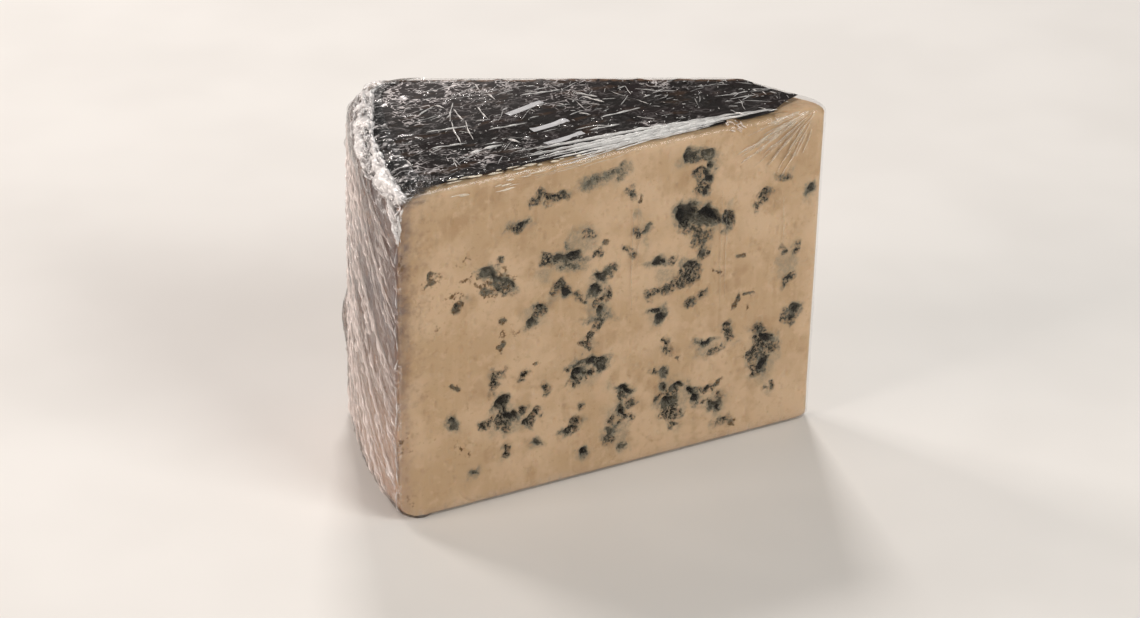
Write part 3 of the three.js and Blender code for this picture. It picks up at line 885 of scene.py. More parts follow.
FRONT_MARKS = tuple(
    Mark(*row)
    for row in (
        # The triangle under the edge and the column of hollows down from it.
        (79.5, 84.0, 4.4, 1.8, 19, 1.8, P), (83.8, 83.2, 5.4, 1.7, -32, 1.8, P),
        (81.5, 82.7, 6.0, 1.6, -11, 1.0, M), (85.5, 80.0, 1.8, 3.3, 3, 1.2, P),
        (82.9, 78.1, 4.2, 3.3, -12, 0.8, M), (84.5, 76.7, 1.8, 1.9, 3, 1.0, P),
        (83.7, 73.9, 3.6, 5.0, 3, 0.8, M), (84.1, 72.4, 1.8, 1.9, 3, 0.8, P),
        (75.5, 82.3, 3.6, 2.7, -11, 0.0, S), (79.1, 67.6, 8.8, 5.0, -44, 6.0, P),
        (79.2, 70.2, 4.2, 1.4, -12, 1.5, P), (85.6, 65.5, 8.2, 4.5, -40, 5.0, P),
        (91.0, 63.8, 3.4, 5.0, 3, 1.4, M), (91.2, 62.4, 1.8, 2.0, 3, 1.5, P),
        (91.4, 67.9, 1.8, 3.3, 3, 0.0, S), (82.3, 61.5, 7.5, 2.4, -21, 1.6, M),
        (83.0, 58.9, 4.6, 2.2, -12, 1.2, M), (75.6, 68.2, 2.4, 4.4, 3, 0.0, S),
        (84.6, 56.0, 3.0, 3.9, 3, 0.5, M),
        # The grey arc below them.
        (70.9, 56.1, 3.6, 1.4, -12, 1.4, P), (70.9, 56.3, 7.2, 3.6, -12, 0.0, S),
        (75.2, 55.6, 2.1, 1.1, -12, 0.6, M), (81.1, 53.1, 3.3, 1.3, -12, 1.4, P),
        (80.7, 50.5, 7.3, 5.5, 25, 0.7, M), (77.3, 48.7, 5.0, 3.1, 7, 0.5, M),
        (73.2, 48.0, 7.1, 2.0, -7, 0.7, M), (68.9, 47.8, 3.0, 2.5, -13, 0.3, M),
        (73.7, 51.8, 7.8, 4.8, -13, 0.0, S), (71.1, 42.4, 3.9, 1.7, -13, 1.2, P),
        (72.5, 40.0, 2.3, 3.4, -20, 1.2, P), (71.5, 41.1, 6.7, 6.8, 2, 0.0, S),
        # The lilac vein to their left.
        (62.3, 83.6, 1.2, 3.8, 2, 0.2, S), (62.6, 77.2, 1.5, 2.4, 2, 0.4, M),
        (65.2, 74.7, 1.7, 1.0, -2, 0.5, R), (65.4, 70.3, 3.8, 3.3, -12, 0.1, S),
        (67.3, 66.4, 1.8, 2.5, 2, 1.2, P), (65.9, 65.6, 3.8, 1.4, -12, 0.5, M),
        (67.4, 62.3, 1.8, 4.4, 2, 0.1, S), (61.7, 61.7, 1.5, 1.4, -12, 0.7, M),
        (63.0, 60.3, 1.8, 1.7, -12, 0.8, M),
        # The right-hand side.
        (108.1, 72.2, 2.6, 1.2, -20, 0.8, M), (109.7, 74.0, 2.0, 1.0, 44, 0.0, S),
        (115.3, 67.2, 2.5, 2.3, -12, 1.4, P), (115.8, 64.7, 3.5, 4.0, 4, 0.2, S),
        (102.6, 68.4, 2.4, 2.2, 19, 1.0, M), (101.3, 67.5, 2.9, 3.2, 19, 0.4, M),
        (99.8, 65.6, 1.9, 1.7, -12, 0.3, M), (108.2, 51.5, 1.7, 2.6, 4, 0.5, M),
        (112.5, 50.8, 1.6, 2.3, 4, 0.3, M), (107.4, 47.7, 1.9, 4.9, 4, 0.2, S),
        (110.6, 42.4, 1.7, 3.3, -46, 0.4, M), (110.3, 47.3, 7.4, 9.7, -13, 0.0, S),
        (112.7, 33.3, 3.8, 3.6, 7, 1.8, P), (111.8, 31.5, 4.6, 3.9, 6, 0.9, M),
        (95.5, 52.4, 1.5, 0.6, -3, 0.3, R), (89.5, 49.5, 3.0, 0.8, -37, 0.4, R),
        (98.5, 41.7, 2.0, 0.8, -25, 0.5, R), (95.7, 40.3, 1.9, 1.7, -13, 0.5, R),
        (94.4, 38.9, 1.6, 1.4, -13, 0.4, R), (99.4, 36.6, 1.6, 1.2, -13, 0.2, T),
        (81.4, 42.7, 3.3, 1.6, 12, 0.8, M), (84.9, 43.9, 2.2, 2.0, -13, 0.6, M),
        # The vein down the right-hand side and what lies left of it.
        (101.9, 30.3, 4.8, 2.3, -13, 0.8, M), (104.8, 27.0, 5.1, 2.7, -30, 1.8, P),
        (106.8, 24.2, 3.2, 3.3, 4, 1.0, M), (102.5, 24.2, 4.8, 7.1, 3, 0.7, M),
        (104.2, 19.6, 3.2, 3.9, 3, 1.8, P), (102.3, 18.6, 3.8, 3.9, 3, 0.8, M),
        (106.4, 16.1, 1.9, 2.4, 3, 0.3, S), (106.3, 13.1, 1.5, 1.6, 3, 0.7, M),
        (106.7, 11.0, 1.9, 2.1, 3, 0.0, S), (103.9, 22.0, 10.9, 17.2, 3, 0.0, S),
        (99.5, 23.5, 1.9, 1.2, -13, 0.2, T), (92.4, 33.9, 1.6, 2.0, 3, 0.8, M),
        (91.8, 32.1, 1.3, 1.7, 3, 0.6, M), (93.2, 30.2, 1.9, 2.6, 3, 1.0, M),
        (95.3, 28.1, 2.2, 2.1, -13, 0.2, S), (86.1, 29.7, 3.8, 1.4, 1, 1.4, P),
        (88.8, 26.8, 4.3, 1.3, 18, 0.8, M), (86.9, 27.8, 7.2, 5.3, 1, 0.0, S),
        (83.5, 26.1, 2.8, 1.5, -13, 0.2, S), (74.7, 33.2, 1.5, 1.7, 2, 0.8, M),
        (74.6, 30.9, 1.9, 2.5, 21, 0.4, M), (77.5, 28.0, 1.2, 1.2, -13, 0.4, R),
        # The broken vein down the middle.
        (58.4, 56.8, 2.7, 2.2, 37, 1.0, M), (55.3, 56.1, 4.5, 2.5, 13, 1.6, P),
        (53.6, 52.3, 3.5, 3.1, -13, 2.0, P), (56.4, 50.7, 1.8, 2.5, 2, 0.8, M),
        (54.8, 49.1, 3.0, 2.8, -13, 1.0, M), (49.5, 50.7, 3.8, 1.3, -34, 0.6, M),
        (55.2, 46.5, 1.8, 2.2, 2, 1.6, P), (54.6, 44.4, 4.6, 1.0, -5, 1.0, P),
        (54.2, 42.0, 2.7, 2.3, -13, 0.4, M), (54.1, 49.5, 7.1, 15.6, 2, 0.0, S),
        (52.0, 39.7, 2.1, 2.3, 2, 0.8, M), (50.5, 37.6, 3.1, 2.1, -4, 1.0, M),
        (51.3, 38.5, 5.3, 6.2, 2, 0.0, S), (51.9, 33.0, 7.0, 1.8, -2, 1.5, P),
        (55.0, 31.4, 3.0, 2.3, -14, 1.8, P), (48.8, 30.2, 2.9, 4.0, -46, 1.3, P),
        (51.6, 28.9, 2.6, 2.9, -21, 1.0, M), (47.7, 27.8, 2.7, 1.7, -14, 0.9, M),
        (45.8, 31.8, 1.8, 2.3, 1, 0.7, M), (50.7, 30.5, 11.9, 9.9, 7, 0.0, S),
        # The left and upper part.
        (41.5, 80.2, 5.1, 2.7, -12, 1.2, M), (36.4, 80.6, 3.4, 3.5, 1, 0.9, M),
        (39.0, 80.7, 9.5, 4.1, -8, 0.0, S), (44.2, 81.0, 3.4, 1.9, -12, 0.3, S),
        (51.4, 82.1, 7.2, 3.6, -4, 0.8, G), (57.6, 83.3, 8.6, 3.2, 6, 0.6, G),
        (54.8, 82.5, 13.5, 4.9, 3, 0.0, S), (31.9, 75.2, 3.3, 1.2, -4, 1.4, P),
        (30.3, 74.1, 3.4, 2.6, 8, 0.5, M), (49.3, 67.3, 9.8, 8.7, -12, 0.1, S),
        (45.4, 66.0, 2.0, 4.1, 1, 0.3, G), (50.7, 68.9, 3.5, 1.9, -12, 0.3, M),
        (45.0, 62.9, 8.7, 1.9, -14, 2.8, P), (45.3, 60.6, 8.1, 1.9, -12, 0.2, G),
        (39.3, 63.9, 2.6, 2.4, -12, 0.7, M), (38.9, 59.8, 6.1, 4.6, 19, 0.0, S),
        (53.7, 62.2, 1.2, 1.6, 2, 0.6, M), (55.3, 64.9, 1.5, 1.1, -12, 0.3, R),
        (43.5, 55.2, 5.0, 3.2, -3, 1.5, M), (44.9, 53.8, 2.9, 2.5, -13, 1.0, P),
        (42.4, 54.1, 6.9, 6.0, 7, 0.0, S), (36.7, 51.4, 2.9, 2.5, -13, 2.4, P),
        (37.1, 49.7, 4.5, 4.2, 7, 1.4, M), (35.4, 47.4, 3.3, 3.4, 19, 2.0, P),
        (36.2, 49.1, 8.1, 9.0, -27, 0.0, S), (40.2, 51.6, 3.5, 2.8, 25, 0.2, S),
        # The brown hollows near the rind.
        (23.6, 63.8, 4.6, 2.8, -3, 3.2, P), (26.4, 61.8, 5.5, 2.4, -44, 3.6, P),
        (28.6, 59.4, 3.7, 1.5, -38, 2.4, P), (26.7, 58.9, 6.5, 2.3, -22, 1.2, M),
        (25.8, 66.2, 1.4, 1.6, 1, 0.6, M), (25.3, 60.7, 10.2, 8.7, -13, 0.1, T),
        (17.5, 68.6, 2.8, 1.3, -12, 0.3, T), (7.9, 65.8, 2.2, 1.6, -13, 1.4, R),
        (7.6, 64.1, 1.7, 1.3, -13, 1.0, R), (7.4, 65.3, 4.7, 4.0, -13, 0.0, T),
        (14.4, 59.1, 5.1, 2.1, -17, 0.6, T), (14.6, 56.4, 2.5, 3.0, 0, 1.4, R),
        (17.3, 57.5, 2.5, 1.9, -13, 0.3, S), (19.3, 62.6, 6.7, 3.2, -13, 0.2, T),
        (22.2, 58.7, 2.6, 1.2, 8, 0.4, R), (-0.3, 70.9, 1.9, 4.2, 0, 0.0, T),
        (27.3, 50.2, 1.3, 2.2, 1, 0.5, R), (27.6, 47.1, 1.1, 1.7, 1, 0.3, T),
        (31.1, 45.9, 1.1, 1.4, 1, 0.2, T), (26.4, 43.0, 1.4, 2.5, 1, 0.4, R),
        (8.9, 51.1, 1.4, 1.4, -13, 0.2, T), (14.2, 34.9, 2.6, 1.5, -14, 0.8, R),
        (13.7, 24.9, 3.0, 2.1, -23, 1.8, P), (14.7, 22.5, 2.9, 2.0, -14, 0.1, S),
        (16.3, 17.6, 1.2, 1.1, -14, 0.2, T), (17.8, 14.8, 1.4, 1.1, -15, 0.2, T),
        (0.3, 21.7, 2.5, 3.9, 0, 0.0, T), (19.8, 9.2, 2.7, 1.9, -24, 1.8, P),
        (19.4, 7.4, 3.2, 2.0, -15, 0.1, S), (1.8, 5.3, 3.4, 1.7, -15, 0.0, T),
        # The large hollow at the foot, near the rind.
        (27.3, 26.2, 4.1, 3.9, -14, 4.4, P), (30.2, 22.8, 4.8, 2.5, -39, 3.0, P),
        (27.5, 21.8, 6.4, 4.3, -14, 1.4, M), (23.3, 21.5, 2.6, 2.5, -14, 0.7, M),
        (28.7, 18.1, 3.2, 2.0, -14, 0.3, S), (33.2, 23.1, 2.3, 2.8, 1, 0.9, M),
        (36.3, 20.2, 3.3, 2.3, 31, 1.2, M), (37.7, 21.9, 2.1, 1.7, -14, 0.8, M),
        (34.9, 19.4, 2.1, 1.7, -14, 1.4, P), (29.2, 21.9, 13.5, 9.4, -6, 0.0, S),
        (26.5, 35.6, 2.6, 1.7, -14, 0.9, M), (25.3, 33.4, 1.4, 4.2, 1, 0.6, M),
        (24.3, 35.8, 3.4, 2.8, -14, 0.0, S), (37.0, 35.6, 1.5, 1.4, -14, 0.5, R),
        (33.8, 33.3, 1.5, 2.0, 1, 0.4, M), (39.9, 27.9, 1.8, 2.6, 1, 0.8, M),
        (50.1, 20.3, 1.8, 2.3, 2, 0.6, M), (57.8, 23.6, 3.9, 3.5, -14, 0.1, S),
        (37.2, 13.4, 2.6, 1.6, -32, 1.2, P), (35.9, 12.1, 3.0, 2.0, -14, 0.3, S),
        (28.8, 13.2, 1.8, 2.9, 1, 1.0, M), (27.8, 11.6, 2.3, 1.7, -15, 0.1, S),
        (45.9, 14.7, 2.7, 2.5, 6, 1.4, P), (48.2, 15.7, 2.9, 2.2, 12, 1.0, M),
        (50.8, 16.1, 2.7, 1.6, 6, 0.2, S), (51.0, 7.2, 3.0, 2.3, -14, 1.8, P),
        (49.9, 5.5, 4.2, 2.0, -15, 0.1, S),
        # The chain at the foot, left of the middle.
        (62.6, 21.9, 3.4, 1.9, 1, 1.5, P), (61.9, 20.3, 1.8, 2.0, 2, 0.9, M),
        (64.2, 17.9, 3.3, 1.3, -31, 0.9, M), (61.7, 16.2, 1.9, 2.9, 20, 1.6, P),
        (63.0, 14.3, 2.9, 1.7, -23, 1.0, M), (64.3, 13.2, 1.2, 1.2, -14, 0.6, M),
        (59.5, 13.7, 2.7, 2.3, -14, 1.0, M), (59.0, 11.1, 3.9, 2.6, 6, 1.2, P),
        (58.5, 8.8, 3.1, 2.3, -14, 0.8, M), (62.5, 5.6, 2.5, 1.5, -14, 1.3, P),
        (60.9, 11.7, 8.5, 15.7, 16, 0.0, S), (62.6, 20.5, 5.5, 5.2, -14, 0.0, S),
        # The cluster at the foot, right of the middle.
        (74.2, 24.5, 2.5, 2.0, -14, 1.2, P), (72.0, 25.9, 1.8, 1.4, -14, 0.6, M),
        (74.6, 22.4, 3.1, 2.3, -14, 0.1, S), (73.8, 20.6, 1.9, 1.8, -14, 1.0, P),
        (78.3, 19.8, 3.1, 2.6, -14, 1.3, P), (76.7, 18.3, 3.7, 2.3, -14, 0.9, M),
        (75.8, 15.4, 5.3, 4.0, -4, 1.9, P), (73.0, 17.9, 1.9, 1.8, -14, 0.6, M),
        (76.5, 12.4, 5.6, 3.2, -14, 0.8, M), (73.5, 14.6, 1.9, 2.1, 2, 0.5, M),
        (82.5, 17.0, 4.8, 2.1, -38, 1.7, P), (84.4, 14.2, 3.0, 2.7, -20, 1.4, P),
        (86.2, 16.9, 2.4, 1.2, -4, 0.8, M), (89.0, 16.3, 1.7, 1.5, -14, 0.8, M),
        (90.4, 18.1, 1.4, 1.2, -14, 0.5, R), (91.6, 13.0, 2.6, 1.6, 6, 1.2, M),
        (90.2, 11.0, 3.5, 3.0, -14, 1.9, P), (87.8, 12.9, 1.4, 1.3, -14, 0.8, M),
        (90.5, 8.3, 4.1, 2.4, -14, 0.2, S), (76.7, 16.4, 11.2, 12.9, 3, 0.0, S),
        (83.9, 15.2, 9.0, 5.7, -38, 0.0, S), (90.1, 12.5, 8.9, 7.7, -14, 0.0, S),
        (91.3, 5.8, 3.6, 1.6, -5, 0.7, M), (94.3, 5.0, 1.9, 1.4, -14, 0.5, R),
        (77.9, 8.5, 1.9, 3.0, 3, 0.7, M), (78.6, 6.9, 3.1, 2.7, -14, 0.1, S),
        (81.4, 11.0, 1.6, 1.2, -14, 0.2, T),
    )
)

TOP_CREASES = (
    # Each from one place along and behind the front cut to another, and its width.
    ((35.3, 41.2), (29.5, 30.8), 0.35),
    ((29.5, 30.8), (25.9, 17.7), 0.35),
    ((33.4, 37.6), (32.8, 29.8), 0.3),
    ((32.8, 29.8), (29.3, 18.7), 0.3),
    ((39.4, 36.1), (38.5, 28.4), 0.3),
    ((45.9, 49.5), (45.2, 44.8), 0.3),
    ((45.5, 42.0), (46.0, 37.9), 0.3),
    ((24.5, 11.8), (28.4, 12.2), 0.8),
    ((28.7, 12.8), (34.3, 13.0), 0.9),
    ((36.8, 15.0), (38.6, 12.0), 0.4),
    ((35.4, 22.1), (45.9, 21.9), 0.25),
    ((65.7, 32.6), (69.9, 28.3), 0.4),
    ((66.0, 30.2), (69.6, 24.7), 0.3),
    ((17.4, 18.4), (27.3, 17.7), 0.25),
    ((7.7, 15.6), (8.7, 10.9), 0.4),
    ((23.6, 37.2), (30.3, 41.4), 0.3),
    ((30.3, 41.4), (31.9, 38.7), 0.3),
    ((94.9, 3.7), (96.5, 1.5), 0.4),
    ((20.8, 27.6), (32.6, 26.5), 0.2),
    ((52.6, 37.5), (63.5, 36.4), 0.25),
    ((63.6, 16.5), (75.7, 17.5), 0.3),
    ((57.4, 10.7), (66.2, 11.1), 0.3),
)


@dataclass(frozen=True)
class BackMarks:
    """The rule that places the back cut's marks, the same as in the CAD."""

    columns: int = 6
    rows: int = 5
    first_along: float = 12.0
    first_up: float = 10.0
    pitch_along: float = 14.8
    pitch_up: float = 17.0

    def marks(self) -> tuple[Mark, ...]:
        """Returns the marks: a pocket, with smoke round it, near each place of the grid."""
        made = []
        for n in range(self.columns * self.rows):
            wander = [chance(n * 7 + k) - 0.5 for k in range(6)]
            along = self.first_along + (n % self.columns) * self.pitch_along + 11 * wander[1]
            up = self.first_up + (n // self.columns) * self.pitch_up + 12 * wander[2]
            size = 2.6 + 7.5 * chance(n * 7 + 3) ** 2
            wide, high = size * (1 + wander[4]), size / (1 + wander[4])
            lean = 90 * wander[5]
            made.append(Mark(along, up, wide, high, lean, 1 + 0.32 * size, P if size > 3.4 else M))
            made.append(Mark(along, up, wide + 4, high + 4, lean, 0.0, S))
        return tuple(made)


NOSE_MARKS = (
    Mark(8, 62, 4.5, 6, 10, 2.0, P),
    Mark(9, 60, 9, 11, 10, 0.0, S),
    Mark(16, 30, 6, 4.5, -20, 2.2, P),
    Mark(9, 16, 3, 3.5, 0, 1.4, M),
    Mark(12, 22, 8, 14, 10, 0.0, S),
)


@dataclass
class Paste:
    """The cheese itself: one closed mesh whose cuts have real hollows.

    Attributes:
        wedge: The form.
        grow: How far off the bare cheese its walls lie.
        top: How far above the bare cheese its top lies, below the label.
        clearance: How far its base stays off the floor, for the film under it.
        facet: How broad the crystal-like faces in its hollows are.
        rows: Its rows at the foot, up the walls and over the shoulder.
        steps: Its columns.
        finish: Its finish.
        noise: What roughens it.
    """

    wedge: Wedge
    grow: float = 1.1
    top: float = 0.55
    clearance: float = 0.25
    facet: float = 3.4
    rows: tuple[int, int, int] = (5, 155, 12)
    steps: Steps = Steps(front=300, nose=44, back=120, rind=44)
    finish: PasteFinish = PasteFinish()
    noise: Noise = field(default_factory=lambda: Noise(7))

    def _marked(
        self, points: Array, facets: Array, cut: Cut, marks: tuple[Mark, ...]
    ) -> tuple[Array, ...]:
        """Works out the marks of one cut.

        Args:
            points: The walls' points.
            facets: How the faces in the hollows slope there.
            cut: The cut face.
            marks: Its marks.

        Returns:
            The depth, the vein, its crumbliness and the brown at each point.
        """
        warp = [self.noise.fractal(points + shift, 2.3, 3) - 0.5 for shift in (0.0, 400.0)]
        along, up = cut.along(points) + 4.2 * warp[0], points[..., 2] + 4.2 * warp[1]
        uneven = 1.5 * (self.noise.fractal(points + 90.0, 1.3, 3) - 0.5)
        depth, vein, crumbly, brown = (np.zeros(along.shape) for _ in range(4))
        for mark in marks:
            share = mark.share(along, up)
            share = share + uneven * smooth(0.05, 0.5, share) * mark.look.crumbly
            crumbly = np.where(mark.look.vein * share > vein, mark.look.crumbly, crumbly)
            vein = np.maximum(vein, mark.look.vein * share)
            brown = np.maximum(brown, mark.look.brown * share)
            depth = np.maximum(depth, mark.deep * smooth(0.45, 0.8, share) * (0.72 + 0.5 * facets))
        face = smooth(-0.6, -0.1, cut.off(points) - self.grow)
        return depth * face, vein * face, crumbly * face, brown * face

    def _near_rind(self, points: Array) -> Array:
        """Returns how near the rind points lie: a little some way in, and most on the rind itself."""
        w = self.wedge
        inside = w.radius - np.linalg.norm(points[..., :2], axis=-1)
        cut = np.maximum(*(smooth(-1.0, -0.2, side.off(points) - self.grow) for side in (w.front, w.back)))
        near = 0.28 * smooth(15.0, 1.0, inside) + 0.3 * smooth(3.5, 0.3, inside)
        return near + 0.42 * smooth(2.5, -0.6, inside) * (1.0 - cut)

    def _relief(self, points: Array) -> Array:
        """Returns the gentle unevenness of a cut made by a wire, with fine pores."""
        swell = self.noise.fractal(points, 22.0, 2) - 0.5
        pores = smooth(0.74, 0.86, self.noise.at(points + 50.0, 1.3))
        ripple = self.noise.fractal(points * np.array([1.0, 1.0, 0.25]) + 70.0, 2.2, 2) - 0.5
        return 0.35 * swell + 0.12 * ripple - 0.35 * pores

    def make(self) -> bpy.types.Object:
        """Builds the cheese."""
        w = self.wedge
        walls = w.walls(w.heights(self.top, *self.rows), self.grow, self.top, self.steps)
        normal = surface_normals(walls, closed=True)
        facets = self.noise.facets(walls, self.facet)
        cuts = ((w.front, FRONT_MARKS), (w.back, BackMarks().marks()), (w.nose, NOSE_MARKS))
        found = [self._marked(walls, facets, cut, marks) for cut, marks in cuts]
        depth, vein, crumbly, brown = (np.maximum.reduce(kind) for kind in zip(*found))
        move = (self._relief(walls) - depth) * smooth(0.0, 1.5, walls[..., 2])
        moved = walls + normal * move[..., None]
        moved[..., 2] = np.maximum(moved[..., 2], 0.0) + self.clearance * (1.0 - moved[..., 2] / w.height)
        places = {"vein": vein, "crumbly": crumbly, "brown": brown}
        # crag keeps painted shade off the shallower crystal faces in the hollows.
        places |= {"crag": smooth(0.05, -0.3, facets), "rind": self._near_rind(walls)}
        # foot sets the painted warm bounce light on the rind's lower part.
        places |= {"foot": smooth(58.0, 12.0, walls[..., 2])}
        sheet = Sheet().grid(moved, closed=True, **places)
        for ring, flip in ((moved[-1], False), (moved[0], True)):
            centre = ring.mean(axis=0)
            cap = centre + (ring[None] - centre) * np.linspace(1.0, 0.0, 4)[:, None, None]
            sheet.grid(cap, closed=True, flip=flip, **(dict.fromkeys(places, 0.0) | {"rind": 0.2}))
        piece = sheet.make("cheese_paste", self.finish.material(), weld=True)
        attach(piece, "root")
        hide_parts("cheese")
        return piece


@dataclass
class Label:
    """The foil label over the top, folded down the rind's shoulder, with plain printed bars.

    Attributes:
        wedge: The form.
        grow: How far off the bare cheese it lies at the sides.
        top: How far above the bare cheese it lies.
        tip_gap: How far it stops short of the tip along the front cut.
        notch: Where its torn notch is along the front cut.
        fold: How far past the back cut it is folded over the edge.
        finish: Its finish.
        ink: The bars' finish.
        noise: What crumples it.
    """

    wedge: Wedge
    grow: float = 1.35
    top: float = 1.05
    tip_gap: float = 15.5
    notch: float = 92.5
    fold: float = 1.25
    finish: FoilFinish = FoilFinish()
    ink: InkFinish = InkFinish()
    noise: Noise = field(default_factory=lambda: Noise(11))

    # Its points across, from the front cut to the back, and inward from the rind.
    ACROSS, INWARD = 130, 220
    # How far in from the rind it starts, by the share of the way from the front cut to the back.
    START = ((0.0, 0.15, 0.45, 0.8, 0.93, 1.0), (1.8, 0.4, 0.9, 3.0, 5.0, 10.0))
    # Each bar's ends, along and behind the front cut.
    BARS = (((44.5, 29.1), (56.0, 32.5)), ((45.0, 17.8), (56.0, 19.4)), ((44.0, 9.0), (55.5, 10.8)))

    def _creased(self, points: Array) -> Array:
        """Returns how far the foil stands up in its creases."""
        return 0.35 * smooth(0.35, 0.9, self.noise.ridges(points, 9.0, 3))

    def _ends(self, rows: Array) -> Array:
        """Returns how far in it reaches on each ray: to the nose's edge, and less by the front cut."""
        w = self.wedge
        angle = w.angle(rows)
        to_nose = (w.nose.distance - w.apex @ w.nose.out - 0.9) / (bearing(angle) @ w.nose.out)
        blunt = w.nose_front + self.tip_gap * smooth(0.5, -0.05, rows) ** 0.8
        return w.to_rind(angle, w.radius) - np.maximum(to_nose, blunt)

    def make(self) -> list[bpy.types.Object]:
        """Builds the label and its bars."""
        w = self.wedge
        rows = np.linspace(0.0, 1.0, self.ACROSS)
        start = np.interp(rows, *self.START)[:, None]
        share = np.linspace(0.0, 1.0, self.INWARD)[None, :]
        inward = start + share * (self._ends(rows)[:, None] - start)
        across = np.broadcast_to(rows[:, None], inward.shape)
        place = raised(w.rays(inward, across), 0.0)
        torn = 3.4 * smooth(2.2, 0.8, np.abs(inward - self.notch))
        front_gap = 0.15 + 0.5 * self.noise.fractal(place, 5.0, 2) + torn
        back_gap = 0.7 * self.noise.fractal(place + 40, 7.0, 2) - self.fold * smooth(9.0, 16.0, inward)
        width = 2 * w.half_angle * np.linalg.norm(place[..., :2] - w.apex, axis=-1)
        across = front_gap / width + (1.0 - (front_gap + back_gap) / width) * across
        points, normal = w.over_top(w.rays(inward, across), self.grow, self.top)
        points = points + normal * self._creased(points)[..., None]
        edge = w.cut_shoulder
        beyond = edge.side + (across - 1.0) * width
        over = np.clip(beyond / (edge.side + self.grow), 0.0, 0.999)
        points[..., 2] -= (edge.rise + self.top) * (1.0 - np.sqrt(1.0 - over * over))
        # How far the foil is folded over the back edge; there the foil's material paints a glint.
        worn = smooth(-1.2, 0.6, beyond)
        label = Sheet().grid(points, flip=True, worn=worn).make("label_foil", self.finish.material())
        bars = self._bars()
        for piece in (label, bars):
            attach(piece, "root")
            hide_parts("label")
        return [label, bars]

    def _bars(self) -> bpy.types.Object:
        """Builds the label's plain bars."""
        cut = self.wedge.front
        sheet = Sheet()
        for start, end in self.BARS:
            run = unit(np.subtract(end, start))
            line = np.linspace(start, end, 30)
            side = np.outer(np.linspace(-1.0, 1.0, 5), [-run[1], run[0]])
            places = line[None] + side[:, None]
            plan = cut.start + places[..., :1] * cut.run - places[..., 1:] * cut.out
            points, _ = self.wedge.over_top(plan, self.grow, self.top)
            sheet.grid(points + (self._creased(points) + 0.1)[..., None] * UPWARD)
        return sheet.make("label_bars", self.ink.material())


class Panel:
    """A grid on the film's skin, with places in millimetres along its rows and away from the first."""

    def __init__(self, grid: Array, outward: float = 1.0) -> None:
        """Measures the grid.

        Args:
            grid: Rows by columns by three.
            outward: Minus one where its rows run down.
        """
        self.grid = grid
        self.normal = surface_normals(grid) * outward
        self.along = self._distances(grid[len(grid) // 2])
        self.depth = np.linalg.norm(np.diff(grid, axis=0), axis=-1).sum(axis=0)
        column = self._distances(grid[:, grid.shape[1] // 2])
        self.share = column / column[-1]

    @staticmethod
    def _distances(line: Array) -> Array:
        """Returns how far along a line each of its points is."""
        return np.concatenate([[0.0], np.cumsum(np.linalg.norm(np.diff(line, axis=0), axis=-1))])

    def places(self) -> tuple[Array, Array]:
        """Returns how far along and away each point of the grid is."""
        away = self.share[:, None] * self.depth[None, :]
        return np.broadcast_to(self.along, away.shape), away

    def at(self, along: Array, away: Array) -> tuple[Array, Array]:
        """Returns the points and normals at places."""
        columns = np.interp(along, self.along, np.arange(len(self.along)))
        depth = np.interp(columns, np.arange(len(self.depth)), self.depth)
        rows = np.interp(away / depth, self.share, np.arange(len(self.share)))
        return self._sample(self.grid, rows, columns), unit(self._sample(self.normal, rows, columns))

    @staticmethod
    def _sample(values: Array, rows: Array, columns: Array) -> Array:
        """Returns values between the points of a grid."""
        row = np.minimum(rows.astype(int), values.shape[0] - 2)
        column = np.minimum(columns.astype(int), values.shape[1] - 2)
        v, u = (rows - row)[..., None], (columns - column)[..., None]
        low = (1 - u) * values[row, column] + u * values[row, column + 1]
        high = (1 - u) * values[row + 1, column] + u * values[row + 1, column + 1]
        return (1 - v) * low + v * high


@dataclass(frozen=True)
class Strand:
    """A fold of gathered film along a line on a panel, tapering to nothing at both ends, its milky white
    partly a painted highlight.

    Attributes:
        start: Where it begins: how far along the panel and away from its first row.
        end: Where it ends.
        width: Its width.
        height: How far it stands up.
        haze: How milky it is, partly as a painted highlight on the fold.
        sway: How far it wanders to either side.
        phase: A number from 0 to 1 that makes its wandering its own.
    """

    start: Place
    end: Place
    width: float
    height: float
    haze: float
    sway: float
    phase: float

    # Its points across, and how far they are sunk into the skin under it.
    SIDES, SUNK = 6, 0.12

    def add_to(self, sheet: Sheet, panel: Panel) -> None:
        """Adds the strand to a mesh in the making.

        Args:
            sheet: The mesh.
            panel: The panel that it lies on.
        """
        start, end = np.array(self.start), np.array(self.end)
        length = float(np.linalg.norm(end - start))
        share = np.linspace(0.0, 1.0, max(7, round(length / 0.6)))
        waves = length / 9.0
        wander = 0.6 * np.sin(2 * math.pi * (share * waves * 0.37 + self.phase))
        wander += 0.4 * np.sin(2 * math.pi * (share * waves + 7.0 * self.phase))
        aside = np.array([start[1] - end[1], end[0] - start[0]]) / length
        line = start + (end - start) * share[:, None] + aside * (self.sway * wander)[:, None]
        points, normal = panel.at(line[:, 0], line[:, 1])
        lump = 1.0 + 0.35 * np.sin(2 * math.pi * (share * waves * 1.9 + 3.0 * self.phase))
        taper = np.sqrt(np.maximum(4.0 * share * (1.0 - share), 0.001)) * lump
        side = unit(np.cross(normal, np.gradient(points, axis=0)))
        turn = np.linspace(0.0, math.pi, self.SIDES)
        spread = np.outer(0.5 * self.width * taper, np.cos(turn))[..., None] * side[:, None]
        rise = np.outer(self.height * taper, np.sin(turn))[..., None] - self.SUNK
        sheet.grid(points[:, None] + spread + rise * normal[:, None], haze=self.haze, wispy=0.0)


